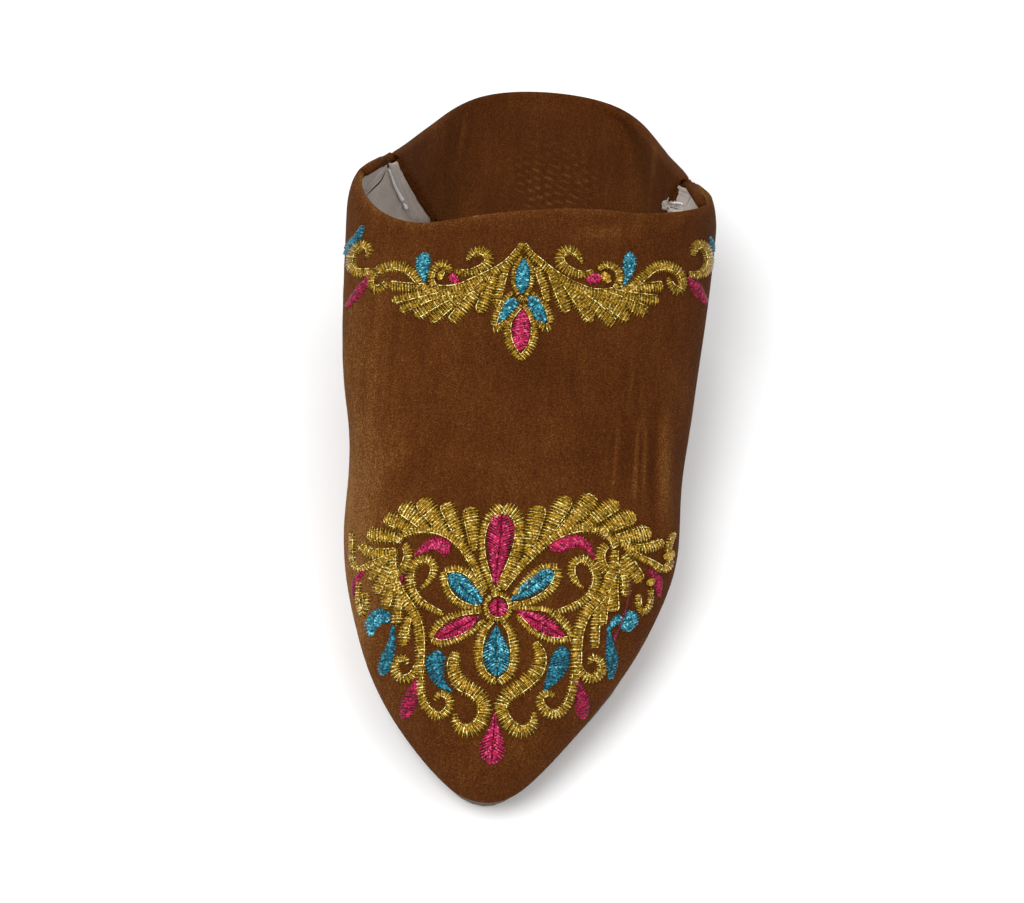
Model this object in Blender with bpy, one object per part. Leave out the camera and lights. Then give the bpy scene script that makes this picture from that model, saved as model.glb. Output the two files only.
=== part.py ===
"""Babouche slipper: a pointed mule with a deep vamp, its quarter trodden flat over the heel seat.

Metres, +Z up. The toe points along -Y, and the origin is on the floor under the middle of the slipper.
"""

import math
from collections import namedtuple

import bmesh
import bpy
import numpy as np

# Driving sizes of the last
LENGTH = 0.263
BALL_WIDTH = 0.0915
COLLAR_WIDTH = 0.107
SOLE_BALL_WIDTH = 0.085
SOLE_HEEL_WIDTH = 0.069
INSTEP_HEIGHT = 0.066
SIDE_HEIGHT = 0.0435
TOE_HEIGHT = 0.0235

# Sideways lean of the centre line, towards +X at the heel and ball and towards -X at the toe
HEEL_SWING = 0.0029
BALL_BOW = 0.0012
TOE_BOW = 0.0018

# Thicknesses, seats and gaps
SOLE_THICKNESS = 0.0032
INSOLE_THICKNESS = 0.002
VAMP_WALL = 0.002
QUARTER_WALL = 0.0018
SEAT_GAP = 0.0003
SEAM_GAP = 0.0003
SOLE_MARGIN = 0.0012
SOLE_EDGE_RADIUS = 0.0006
INSOLE_PLAY = 0.0004
FOOT_RISE = 0.0008
TOE_OVERHANG = 0.0024
HEEL_OVERHANG = 0.0006

# Rise of the sole over the floor
TOE_SPRING = 0.0028
ARCH_RISE = 0.0012

# Places along the slipper, as shares of LENGTH from the toe tip
TOE_SHARE = 0.05
TOE_END_SHARE = 0.30
TOE_BOW_START_SHARE = -0.06
TOE_BOW_END_SHARE = 0.20
BALL_BOW_START_SHARE = 0.16
BALL_BOW_END_SHARE = 0.52
SPRING_START_SHARE = 0.235
BALL_SHARE = 0.28
ARCH_START_SHARE = 0.47
COLLAR_SHARE = 0.591
SWING_START_SHARE = 0.66
ARCH_END_SHARE = 0.70
SEAM_SHARE = 0.742

# Collar cut: straight over the instep, swept back below this angle of the section, and further back at +X
COLLAR_SWEEP_ANGLE = math.radians(62)
COLLAR_SWEEP_POWER = 1.75
COLLAR_SKEW = 0.0045

# Quarter: the fold falls from the side corners to the heel, and its flap lies over the insole
FOLD_BACK_HEIGHT = 0.0095
FOLD_FALL_POWER = 1.37
FOLD_INNER_RADIUS = 0.0003
CREASE_INSET = 0.0025
CREASE_SLOPE = 0.24
CREASE_SHIFT = 0.004
CREASE_SOFTNESS = 0.006
FLAP_HALF_WIDTH = 0.019
FLAP_CREST = 0.006

# Squareness of the section over the girdle, where 2 is an ellipse, and fullness of the wall below it
CROWN_SQUARENESS = 2.15
WALL_FULLNESS = 1.8

# Mesh density
VAMP_STATIONS = 28
SOLE_STATIONS = 36
QUARTER_STATIONS = 16
WALL_STEPS = 4
CROWN_STEPS = 10
CROWN_GATHER = 1.3
SOLE_STEPS_ACROSS = 6
HAIRPIN_STEPS = 5
SLOPE_STEPS = 5
FLAT_STEPS = 5

# The girdle is the widest line of the vamp. Its widths are shares of half the ball width in front and of
# half the collar width behind. Its rise is a share of the side wall's height over the seat, and the
# crown's rise over it a share of what is left up to the instep.
Section = namedtuple("Section", "along girdle girdle_rise crown_rise")
SECTIONS = (
    Section(0.000, 0.000, 0.050, 0.000),
    Section(0.006, 0.142, 0.058, 0.166),
    Section(0.020, 0.250, 0.092, 0.329),
    Section(0.050, 0.408, 0.152, 0.431),
    Section(0.100, 0.610, 0.227, 0.527),
    Section(0.160, 0.795, 0.308, 0.622),
    Section(0.220, 0.920, 0.380, 0.703),
    Section(0.280, 0.985, 0.456, 0.770),
    Section(0.360, 1.000, 0.555, 0.830),
    Section(0.450, 1.060, 0.674, 0.883),
    Section(0.540, 1.114, 0.773, 0.936),
    Section(0.620, 1.148, 0.868, 1.032),
    Section(0.670, 1.158, 0.935, 1.078),
    Section(0.705, 1.085, 0.972, 1.092),
    Section(0.742, 0.962, 1.000, 1.099),
)

# Half widths over the quarter's fold, as shares of the upper's half width at the side seam
RimStation = namedtuple("RimStation", "along half_width")
RIM_OUTLINE = (
    RimStation(0.742, 1.000),
    RimStation(0.800, 0.926),
    RimStation(0.850, 0.861),
    RimStation(0.900, 0.774),
    RimStation(0.930, 0.711),
    RimStation(0.960, 0.610),
    RimStation(0.980, 0.490),
    RimStation(0.990, 0.375),
    RimStation(0.996, 0.255),
    RimStation(1.000, 0.000),
)

# Half widths of the outsole as shares of half its ball width, at shares of the sole's own length
SoleStation = namedtuple("SoleStation", "along half_width")
SOLE_HEEL_SHARE = 0.80
SOLE_OUTLINE = (
    SoleStation(0.000, 0.000),
    SoleStation(0.006, 0.120),
    SoleStation(0.020, 0.218),
    SoleStation(0.050, 0.374),
    SoleStation(0.095, 0.568),
    SoleStation(0.155, 0.768),
    SoleStation(0.215, 0.900),
    SoleStation(0.275, 0.978),
    SoleStation(0.340, 1.000),
    SoleStation(0.450, 0.965),
    SoleStation(0.540, 0.905),
    SoleStation(0.620, 0.855),
    SoleStation(0.700, 0.825),
    SoleStation(0.800, 0.812),
    SoleStation(0.880, 0.775),
    SoleStation(0.930, 0.705),
    SoleStation(0.960, 0.615),
    SoleStation(0.980, 0.500),
    SoleStation(0.994, 0.300),
    SoleStation(1.000, 0.000),
)

Finish = namedtuple("Finish", "colour roughness metallic")
FINISHES = {
    "velvet": Finish((0.105, 0.046, 0.016, 1.0), 0.85, 0.0),
    "sole_leather": Finish((0.120, 0.075, 0.036, 1.0), 0.6, 0.0),
    "sock_leather": Finish((0.45, 0.41, 0.36, 1.0), 0.7, 0.0),
}


def smooth_step(low, high, value):
    """0 below low, 1 above high, and a soft S between them."""
    share = min(max((value - low) / (high - low), 0.0), 1.0)
    return share * share * (3 - 2 * share)


def hump(low, high, value):
    """A soft hump of height 1 between low and high, and 0 elsewhere."""
    share = min(max((value - low) / (high - low), 0.0), 1.0)
    return math.sin(math.pi * share) ** 2


def turn_at(along):
    """A share of the length as an angle of a half circle. Widths that follow it make both ends round."""
    return math.acos(1 - 2 * min(max(along, 0.0), 1.0))


def along_turn(turn):
    return (1 - math.cos(turn)) / 2


def column(table, name, along):
    """One column of a table of stations at a share of the length: a monotone cubic over turn_at."""
    x = np.array([turn_at(row.along) for row in table])
    y = np.array([getattr(row, name) for row in table])
    at = min(max(turn_at(along), x[0]), x[-1])
    slopes = np.diff(y) / np.diff(x)
    tangents = np.concatenate(([slopes[0]], (slopes[:-1] + slopes[1:]) / 2, [slopes[-1]]))
    for k, slope in enumerate(slopes):
        steepest = 3 * abs(slope)
        tangents[k] = min(max(tangents[k], -steepest), steepest)
        tangents[k + 1] = min(max(tangents[k + 1], -steepest), steepest)
    k = min(int(np.searchsorted(x, at, side="right")) - 1, len(slopes) - 1)
    span = x[k + 1] - x[k]
    u = (at - x[k]) / span
    value = y[k] * (2 * u**3 - 3 * u**2 + 1) + y[k + 1] * (3 * u**2 - 2 * u**3)
    value += tangents[k] * span * (u**3 - 2 * u**2 + u)
    value += tangents[k + 1] * span * (u**3 - u**2)
    return float(value)


def y_at(along):
    """The place along the slipper of a share of its length."""
    return (along - 0.5) * LENGTH


def along_at(y):
    return y / LENGTH + 0.5


def lean_at(y):
    """The sideways shift of the centre line."""
    along = along_at(y)
    ball = BALL_BOW * hump(BALL_BOW_START_SHARE, BALL_BOW_END_SHARE, along)
    toe = TOE_BOW * hump(TOE_BOW_START_SHARE, TOE_BOW_END_SHARE, along)
    return HEEL_SWING * smooth_step(SWING_START_SHARE, 1.0, along) + ball - toe


def ground_rise(y):
    """The height of the sole's underside over the floor."""
    along = along_at(y)
    toe = max((SPRING_START_SHARE - along) / SPRING_START_SHARE, 0.0)
    return TOE_SPRING * toe**2 + ARCH_RISE * hump(ARCH_START_SHARE, ARCH_END_SHARE, along)


def seat_height(y):
    """The height at which the upper and the insole sit, just over the top of the outsole."""
    return ground_rise(y) + SOLE_THICKNESS + SEAT_GAP


def girdle_half_width(along):
    """The table's share as a width: the ball width drives the toe, and the collar width the rest."""
    blend = smooth_step(BALL_SHARE, COLLAR_SHARE, along)
    share = column(SECTIONS, "girdle", along)
    widest = max(row.girdle for row in SECTIONS)
    ball = share * BALL_WIDTH / 2
    collar = share / widest * COLLAR_WIDTH / 2
    return ball * (1 - blend) + collar * blend


def girdle_height(along):
    side_wall_height = SIDE_HEIGHT - SOLE_THICKNESS - SEAT_GAP
    return seat_height(y_at(along)) + column(SECTIONS, "girdle_rise", along) * side_wall_height


def crown_height(along):
    """The height of the vamp's ridge: a blunt toe of TOE_HEIGHT that climbs to the instep at the collar."""
    scale = (INSTEP_HEIGHT - girdle_height(COLLAR_SHARE)) / column(SECTIONS, "crown_rise", COLLAR_SHARE)
    toe_rise = TOE_HEIGHT - girdle_height(TOE_SHARE)
    toe_scale = toe_rise / column(SECTIONS, "crown_rise", TOE_SHARE)
    scale += (toe_scale - scale) * (1 - smooth_step(TOE_SHARE, TOE_END_SHARE, along))
    return girdle_height(along) + column(SECTIONS, "crown_rise", along) * scale


def sole_start():
    return TOE_OVERHANG / LENGTH


def sole_end():
    return 1 - HEEL_OVERHANG / LENGTH


def sole_half_width(along):
    """Half the sole's width: its ball width drives the front, and its heel width the rest."""
    heel_share = column(SOLE_OUTLINE, "half_width", SOLE_HEEL_SHARE)
    heel_scale = SOLE_HEEL_WIDTH / (heel_share * SOLE_BALL_WIDTH)
    scale = 1 + (heel_scale - 1) * smooth_step(BALL_SHARE, SOLE_HEEL_SHARE, along)
    return column(SOLE_OUTLINE, "half_width", along) * SOLE_BALL_WIDTH / 2 * scale


def sole_point(turn):
    """A point of the outsole's outline on the +X side, at a turn of its own length from toe to heel."""
    along = along_turn(turn)
    return sole_half_width(along), y_at(sole_start() + (sole_end() - sole_start()) * along)


def sole_edge(turn, inset):
    """A point of the outsole's outline, moved inwards by inset along the outline's normal."""
    step = 1e-3
    low, high = sole_point(max(turn - step, 0.0)), sole_point(min(turn + step, math.pi))
    widen, run = high[0] - low[0], high[1] - low[1]
    size = math.hypot(widen, run)
    x, y = sole_point(turn)
    if min(turn, math.pi - turn) < step:
        return 0.0, y + math.copysign(inset, math.pi / 2 - turn)
    return max(x - run / size * inset, 0.0), y + widen / size * inset


def upper_foot(along, inset):
    """Where the upper stands on the sole below a place of its own, toe over toe and heel over heel."""
    if along < SEAM_SHARE:
        place = sole_start() + (SEAM_SHARE - sole_start()) * along / SEAM_SHARE
    else:
        place = SEAM_SHARE + (sole_end() - SEAM_SHARE) * (along - SEAM_SHARE) / (1 - SEAM_SHARE)
    own = (place - sole_start()) / (sole_end() - sole_start())
    x, y = sole_edge(turn_at(own), inset)
    return x, y, seat_height(y)


def side_wall(foot, rim):
    """The points up a side wall, short of its rim. It stands upright on its seat, then swells outwards."""
    base = foot[2] + FOOT_RISE
    points = [foot]
    for step in range(WALL_STEPS):
        q = step / WALL_STEPS
        swell = 1 - (1 - q) ** WALL_FULLNESS
        x = foot[0] + (rim[0] - foot[0]) * swell
        y = foot[1] + (rim[1] - foot[1]) * swell
        points.append((x, y, base + (rim[2] - base) * q))
    return points


def collar_end(angle, side):
    """The share of the length at which a line of the vamp ends: at the collar, or at the side seam."""
    sweep = max(1 - angle / COLLAR_SWEEP_ANGLE, 0.0) ** COLLAR_SWEEP_POWER
    skew = side * COLLAR_SKEW / LENGTH * math.sin(2 * angle)
    return COLLAR_SHARE + (SEAM_SHARE - COLLAR_SHARE) * sweep + skew


def crown_point(along, angle):
    """A point of the vamp over its girdle. The angle runs from 0 at the girdle to pi / 2 at the ridge."""
    power = 2 / CROWN_SQUARENESS
    low = girdle_height(along)
    across = girdle_half_width(along) * max(math.cos(angle), 0.0) ** power
    lift = math.sin(angle) ** power
    return across, y_at(along), low + (crown_height(along) - low) * lift


def vamp_side(share, side):
    """Half a ring of the vamp's outer face, sole to ridge, at a share of the way to the seam."""
    along = share * SEAM_SHARE
    rim = (girdle_half_width(along), y_at(along), girdle_height(along))
    ring = side_wall(upper_foot(along, SOLE_MARGIN), rim)
    for step in range(CROWN_STEPS + 1):
        angle = math.pi / 2 * (step / CROWN_STEPS) ** CROWN_GATHER
        ring.append(crown_point(share * collar_end(angle, side), angle))
    return [(side * x + lean_at(y), y, z) for x, y, z in ring]


def new_object(name, mesh, finish):
    """An object of the mesh, with its own material, shaded smooth up to sharp edges."""
    look = FINISHES[finish]
    material = bpy.data.materials.new(name + "_" + finish)
    material.use_nodes = True
    shader = material.node_tree.nodes["Principled BSDF"]
    shader.inputs["Base Color"].default_value = look.colour
    shader.inputs["Roughness"].default_value = look.roughness
    shader.inputs["Metallic"].default_value = look.metallic
    mesh.materials.append(material)
    mesh.shade_smooth()
    mesh.set_sharp_from_angle(angle=math.radians(40))
    made = bpy.data.objects.new(name, mesh)
    bpy.context.scene.collection.objects.link(made)
    return made


def finished_mesh(name, mesh):
    """The bmesh as a mesh, with the points that fall together at a tip welded."""
    bmesh.ops.remove_doubles(mesh, verts=mesh.verts, dist=1e-6)
    bmesh.ops.dissolve_degenerate(mesh, edges=mesh.edges, dist=1e-6)
    made = bpy.data.meshes.new(name)
    mesh.to_mesh(made)
    mesh.free()
    return made


def skin_mesh(name, rings):
    """A skin through rows of points."""
    mesh = bmesh.new()
    rows = [[mesh.verts.new(point) for point in ring] for ring in rings]
    for row, following in zip(rows, rows[1:]):
        for k in range(len(row) - 1):
            mesh.faces.new((row[k], row[k + 1], following[k + 1], following[k]))
    return finished_mesh(name, mesh)


def loft_mesh(name, rings):
    """A solid through closed sections, each a strip whose second half runs back under the first."""
    mesh = bmesh.new()
    rows = [[mesh.verts.new(point) for point in ring] for ring in rings]
    count = len(rows[0])
    for row, following in zip(rows, rows[1:]):
        for k in range(count):
            after = (k + 1) % count
            mesh.faces.new((row[k], following[k], following[after], row[after]))
    for row in (rows[0], rows[-1]):
        for k in range(count // 2 - 1):
            mesh.faces.new((row[k], row[k + 1], row[count - 2 - k], row[count - 1 - k]))
    bmesh.ops.recalc_face_normals(mesh, faces=mesh.faces)
    return finished_mesh(name, mesh)


def thicken(item, thickness, offset):
    """A wall on the skin: offset -1 grows against the faces' normals, and 1 along them."""
    wall = item.modifiers.new("wall", "SOLIDIFY")
    wall.thickness = thickness
    wall.offset = offset
    wall.use_even_offset = True
    wall.use_rim = True


def make_vamp():
    """The front of the upper: a hollow shell, open underneath and at the collar."""
    rings = []
    for station in range(VAMP_STATIONS + 1):
        share = along_turn(math.pi * station / VAMP_STATIONS)
        rings.append(vamp_side(share, -1) + vamp_side(share, 1)[-2::-1])
    vamp = new_object("upper_vamp", skin_mesh("upper_vamp", rings), "velvet")
    thicken(vamp, VAMP_WALL, -1)
    return vamp


def sole_skin(name, inset, lift):
    """The underside of a sole-shaped layer: moved in by inset, and lift over the outsole's underside."""
    half = SOLE_STEPS_ACROSS // 2
    rows = []
    for station in range(SOLE_STATIONS + 1):
        half_width, y = sole_edge(math.pi * station / SOLE_STATIONS, inset)
        z = ground_rise(y) + lift
        rows.append([(lean_at(y) + half_width * step / half, y, z) for step in range(-half, half + 1)])
    return skin_mesh(name, rows)


def make_outsole():
    """A flat leather sole with a little toe spring and a faint arch."""
    outsole = new_object("outsole", sole_skin("outsole", 0.0, 0.0), "sole_leather")
    thicken(outsole, SOLE_THICKNESS, 1)
    edge = outsole.modifiers.new("rounded edge", "BEVEL")
    edge.width = SOLE_EDGE_RADIUS
    edge.segments = 2
    edge.limit_method = "ANGLE"
    edge.angle_limit = math.radians(60)
    return outsole


def make_insole():
    """The sock that the foot stands on, fitted inside the walls."""
    inset = SOLE_MARGIN + max(VAMP_WALL, QUARTER_WALL) + INSOLE_PLAY
    insole = new_object("insole", sole_skin("insole", inset, SOLE_THICKNESS + SEAT_GAP), "sock_leather")
    thicken(insole, INSOLE_THICKNESS, 1)
    return insole


def fold_height(y):
    """The height of the quarter's fold, which falls from the side corners to the heel."""
    share = (y_at(1.0) - y) / (y_at(1.0) - y_at(SEAM_SHARE))
    return FOLD_BACK_HEIGHT + (SIDE_HEIGHT - FOLD_BACK_HEIGHT) * min(max(share, 0.0), 1.0) ** FOLD_FALL_POWER


def quarter_stations():
    """(rim, foot) pairs round the heel, from the -X seam to the +X seam, measured from the centre line."""
    first = turn_at(SEAM_SHARE + SEAM_GAP / LENGTH)
    right = []
    for station in range(QUARTER_STATIONS):
        along = along_turn(first + (math.pi - first) * station / QUARTER_STATIONS)
        half_width = girdle_half_width(SEAM_SHARE) * column(RIM_OUTLINE, "half_width", along)
        right.append(((half_width, y_at(along)), upper_foot(along, SOLE_MARGIN)))
    left = [((-rim[0], rim[1]), (-foot[0], foot[1], foot[2])) for rim, foot in right]
    back = ((0.0, y_at(1.0)), upper_foot(1.0, SOLE_MARGIN))
    return left + [back] + right[::-1]


def outward_normals(points):
    """Unit normals in plan of a line that runs from -X round the heel to +X, square at the side seams."""
    normals = [(-1.0, 0.0)]
    for before, after in zip(points, points[2:]):
        run_x, run_y = after[0] - before[0], after[1] - before[1]
        size = math.hypot(run_x, run_y)
        normals.append((-run_y / size, run_x / size))
    return normals + [(1.0, 0.0)]


def hairpin(centre_z, crease_inset, crease_z):
    """The bend over the fold: (outwards, z) points from the outer side to where the crease's line leaves it.

    Outwards is measured from the bend's centre.
    """
    radius = FOLD_INNER_RADIUS + QUARTER_WALL / 2
    drop = crease_z - centre_z
    reach = math.hypot(crease_inset, drop)
    towards = math.atan2(drop, -crease_inset) % (2 * math.pi)
    last = towards - math.acos(radius / reach)
    turns = [last * step / HAIRPIN_STEPS for step in range(HAIRPIN_STEPS + 1)]
    return [(radius * math.cos(turn), centre_z + radius * math.sin(turn)) for turn in turns]


def quarter_row(rim, foot, normal, share):
    """The middle of the quarter's wall at one station: up the side, over the fold and down to the insole."""
    half_wall = QUARTER_WALL / 2
    outer_radius = FOLD_INNER_RADIUS + QUARTER_WALL
    flat_z = seat_height(y_at(1.0)) + INSOLE_THICKNESS + SEAT_GAP + half_wall
    top = fold_height(rim[1])
    centre_z = top - outer_radius

    def inside(point, inset, z):
        return point[0] - normal[0] * inset, point[1] - normal[1] * inset, z

    row = side_wall(inside(foot, half_wall, foot[2]), inside(rim, half_wall, centre_z))
    crease = CREASE_INSET + CREASE_SLOPE * (top - flat_z)
    for out, z in hairpin(centre_z, crease, flat_z):
        row.append(inside(rim, outer_radius - out, z))
    start = row[-1]
    shift = CREASE_SHIFT * abs(normal[0])
    control = inside((rim[0] + shift, rim[1]), outer_radius + crease, flat_z)
    end = inside((rim[0] + shift, rim[1]), outer_radius + crease + CREASE_SOFTNESS, flat_z)
    for step in range(1, SLOPE_STEPS + 1):
        u = step / SLOPE_STEPS
        weights = ((1 - u) ** 2, 2 * u * (1 - u), u**2)
        row.append(tuple(sum(w * p[k] for w, p in zip(weights, (start, control, end))) for k in range(3)))
    crest = FLAP_CREST * (1 - (2 * share - 1) ** 2)
    edge = (CREASE_SHIFT + FLAP_HALF_WIDTH * (2 * share - 1), y_at(SEAM_SHARE) + SEAM_GAP - crest, flat_z)
    for step in range(1, FLAT_STEPS + 1):
        u = step / FLAT_STEPS
        row.append(tuple(end[k] + (edge[k] - end[k]) * u for k in range(3)))
    return row


def wall_section(middle, normal):
    """The closed section of the quarter's wall round one station's middle line, velvet face first."""
    runs = []
    for here, following in zip(middle, middle[1:]):
        out = (following[0] - here[0]) * normal[0] + (following[1] - here[1]) * normal[1]
        rise = following[2] - here[2]
        size = math.hypot(out, rise)
        runs.append((rise / size, -out / size))
    velvet, lining = [], []
    for k, (x, y, z) in enumerate(middle):
        before, after = runs[max(k - 1, 0)], runs[min(k, len(runs) - 1)]
        mitre = QUARTER_WALL / 2 / (1 + before[0] * after[0] + before[1] * after[1])
        out, rise = (before[0] + after[0]) * mitre, (before[1] + after[1]) * mitre
        velvet.append((x + normal[0] * out, y + normal[1] * out, z + rise))
        lining.append((x - normal[0] * out, y - normal[1] * out, z - rise))
    return [(x + lean_at(y), y, z) for x, y, z in velvet + lining[::-1]]


def make_quarter():
    """The back of the upper: its low wall round the heel, folded inwards and trodden flat."""
    stations = quarter_stations()
    normals = outward_normals([rim for rim, foot in stations])
    rings = []
    for k, ((rim, foot), normal) in enumerate(zip(stations, normals)):
        middle = quarter_row(rim, foot, normal, k / (len(stations) - 1))
        rings.append(wall_section(middle, normal))
    return new_object("upper_quarter", loft_mesh("upper_quarter", rings), "velvet")


def main():
    for item in list(bpy.data.objects):
        bpy.data.objects.remove(item)
    make_outsole()
    make_insole()
    make_vamp()
    make_quarter()


main()
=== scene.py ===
"""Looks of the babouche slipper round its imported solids: velvet on a cloth lining, leather soles and
satin-stitch embroidery in gold, red and blue thread.

Metres, +Z up, the toe along -Y. The embroidery's shapes are given where the photograph shows them, in its
own pixels, and are laid on the velvet along the photograph's lines of sight.
"""

import math
import random
from collections import namedtuple

import bmesh
import bpy
import numpy as np
from mathutils import Matrix, Vector
from mathutils.bvhtree import BVHTree
from mathutils.kdtree import KDTree


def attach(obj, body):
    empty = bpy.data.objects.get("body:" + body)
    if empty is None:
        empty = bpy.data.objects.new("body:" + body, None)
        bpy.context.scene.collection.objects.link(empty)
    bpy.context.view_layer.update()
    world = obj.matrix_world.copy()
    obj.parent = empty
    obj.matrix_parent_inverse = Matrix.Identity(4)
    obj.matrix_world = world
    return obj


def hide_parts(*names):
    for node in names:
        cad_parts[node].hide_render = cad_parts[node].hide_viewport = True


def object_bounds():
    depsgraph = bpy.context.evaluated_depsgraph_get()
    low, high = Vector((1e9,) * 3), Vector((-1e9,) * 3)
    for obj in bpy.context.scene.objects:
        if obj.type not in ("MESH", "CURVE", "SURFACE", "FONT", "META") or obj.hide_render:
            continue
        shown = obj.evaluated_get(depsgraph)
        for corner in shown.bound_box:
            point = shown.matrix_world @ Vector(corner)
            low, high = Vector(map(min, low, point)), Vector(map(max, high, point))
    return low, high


BODY = "root"
MM = 0.001

# The camera, and the photograph's pixel that shows the point it looks at
CAMERA_PITCH = math.radians(52.0)
CAMERA_ROLL = math.radians(4.4)
CAMERA_DISTANCE = 0.700
CAMERA_TARGET = Vector((-0.0005, -0.0102, 0.0))
LENS_MM = 84.9
SENSOR_MM = 36.0
PHOTO_WIDTH_PX = 1024
TARGET_PX = (290.0, 450.0)
FOCAL_PX = LENS_MM / SENSOR_MM * PHOTO_WIDTH_PX

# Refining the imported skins
WELD = 1e-6
QUAD_ANGLE = math.radians(80)
HELD_ANGLE = math.radians(50)
HELD_CREASE = 0.5
FLAP_TOP = 12 * MM
TURNED_RIM_LEFT = 2.3
TURNED_RIM_RIGHT = 1.0
SPINE_HEIGHT = 12 * MM
TOE_ROUND = 25 * MM

# Embroidery thread, in metres
THREAD_SIDES = 5
STRAND_SHARES = (0.0, 0.14, 0.36, 0.64, 0.86, 1.0)
PATH_STEP_PX = 0.5
GOLD_PITCH = 0.42 * MM
GOLD_RADIUS = 0.23 * MM
GOLD_SPREAD = 1.10
SILK_PITCH = 0.36 * MM
SILK_RADIUS = 0.23 * MM
LONG_STRAND = 1.13
SHORT_STRAND = 0.90
BAND_LIFT = 0.22 * MM
LOW_CROWN = 0.30 * MM
CROWN_SHARE = 0.11
HIGH_CROWN = 0.80 * MM
RIB_RADIUS = 0.15 * MM
RIB_BEAD = 0.70 * MM
RIB_PLACE = 0.36
RIB_LEAST_WIDTH_PX = 5.5

random.seed(7)
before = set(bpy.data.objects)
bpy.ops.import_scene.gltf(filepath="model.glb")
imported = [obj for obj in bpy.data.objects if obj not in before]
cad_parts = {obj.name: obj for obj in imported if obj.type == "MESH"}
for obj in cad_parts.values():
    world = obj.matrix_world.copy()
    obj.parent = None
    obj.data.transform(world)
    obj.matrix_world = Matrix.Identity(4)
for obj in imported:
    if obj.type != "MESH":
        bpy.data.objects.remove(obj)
cad_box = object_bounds()
length = cad_box[1].y - cad_box[0].y
half_width = (cad_box[1].x - cad_box[0].x) / 2

# Soft lengthwise and slanting troughs in the velvet. Side is a share of the half width towards +X, along a
# share of the length from the toe, and width and depth are in millimetres. A negative depth is a ridge,
# and tone is how much lighter the pile is painted along it: mostly painted shade (-) in the troughs and
# painted highlight (+) on the ridges.
Crease = namedtuple("Crease", "side0 along0 side1 along1 width depth tone")
CREASES = (
    # Fine wrinkles on the right, where the vamp bends
    Crease(0.500, 0.270, 0.515, 0.378, 0.5, 0.12, 0.63),
    Crease(0.555, 0.285, 0.560, 0.380, 1.2, 0.15, -0.28),
    Crease(0.612, 0.290, 0.612, 0.385, 0.6, -0.15, 0.98),
    Crease(0.655, 0.300, 0.650, 0.400, 0.5, -0.10, 0.56),
    Crease(0.575, 0.385, 0.560, 0.455, 0.5, -0.10, 0.56),
    Crease(0.635, 0.360, 0.625, 0.425, 0.5, -0.10, 0.50),
    Crease(0.700, 0.280, 0.700, 0.400, 1.2, 0.25, -0.40),
    Crease(0.765, 0.262, 0.755, 0.410, 1.9, -0.30, 0.50),
    Crease(0.860, 0.270, 0.860, 0.430, 2.4, 0.45, -0.35),
    # Long soft folds down the left side
    Crease(-0.660, 0.340, -0.640, 0.520, 0.8, 0.15, -0.22),
    Crease(-0.790, 0.400, -0.770, 0.560, 1.0, 0.20, -0.30),
    Crease(-0.730, 0.300, -0.730, 0.460, 0.8, 0.10, 0.12),
    Crease(-0.860, 0.300, -0.850, 0.500, 1.6, 0.30, -0.12),
    Crease(-0.570, 0.275, -0.370, 0.345, 3.2, 0.30, -0.25),
    Crease(-0.600, 0.255, -0.420, 0.300, 3.0, -0.20, 0.20),
    # Drawn in by the seams at the collar's corners
    Crease(-0.780, 0.640, -0.550, 0.600, 1.6, 0.35, -0.40),
    Crease(-0.680, 0.655, -0.440, 0.600, 1.4, -0.25, 0.55),
    Crease(-0.560, 0.640, -0.330, 0.592, 1.2, 0.25, -0.35),
    Crease(-0.480, 0.620, -0.250, 0.580, 1.2, -0.20, 0.40),
    Crease(0.300, 0.585, 0.720, 0.625, 2.2, 0.35, -0.30),
    Crease(0.180, 0.565, 0.600, 0.585, 2.6, -0.25, 0.35),
    Crease(0.700, 0.600, 0.820, 0.640, 1.8, 0.30, 0.30),
    Crease(-0.400, 0.570, -0.100, 0.560, 2.4, 0.20, -0.15),
    Crease(0.050, 0.300, 0.400, 0.335, 3.0, 0.20, -0.12),
    Crease(-0.350, 0.320, 0.000, 0.305, 3.0, 0.16, 0.12),
    # The quarter's fold lines beside the heel
    Crease(-0.425, 0.955, -0.465, 0.835, 0.8, 0.20, 0.40),
    Crease(-0.500, 0.930, -0.530, 0.800, 1.4, 0.15, -0.18),
    Crease(0.675, 0.868, 0.670, 0.805, 0.7, 0.20, 0.45),
    Crease(0.730, 0.860, 0.740, 0.790, 1.4, 0.15, -0.18),
    Crease(-0.620, 0.850, -0.640, 0.740, 1.2, 0.15, 0.12),
)

# Where the pile is painted lighter (+) or darker (-): partly its brushed tone and partly painted sheen
# and shade, lighter down the lit left side and darker to the right and in the middle. Side and along as
# above, reaches in mm
NapAndSheenPatch = namedtuple("NapAndSheenPatch", "side along reach_side reach_along amount")
NAP_AND_SHEEN_PATCHES = (
    NapAndSheenPatch(-0.90, 0.42, 15, 44, 0.62),
    NapAndSheenPatch(-0.88, 0.18, 14, 36, 1.50),
    NapAndSheenPatch(0.70, 0.38, 8, 18, -0.05),
    NapAndSheenPatch(0.97, 0.45, 5, 50, -0.40),
    NapAndSheenPatch(-0.70, 0.14, 9, 20, 0.40),
    NapAndSheenPatch(0.12, 0.43, 26, 30, -0.18),
    NapAndSheenPatch(-0.40, 0.62, 22, 7, 0.22),
    NapAndSheenPatch(0.45, 0.61, 18, 5, 0.22),
    NapAndSheenPatch(0.80, 0.60, 10, 16, -0.30),
    NapAndSheenPatch(-0.64, 0.86, 9, 26, 0.28),
    NapAndSheenPatch(0.62, 0.86, 9, 24, 0.25),
    NapAndSheenPatch(0.20, 0.90, 18, 16, -0.10),
)

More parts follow.
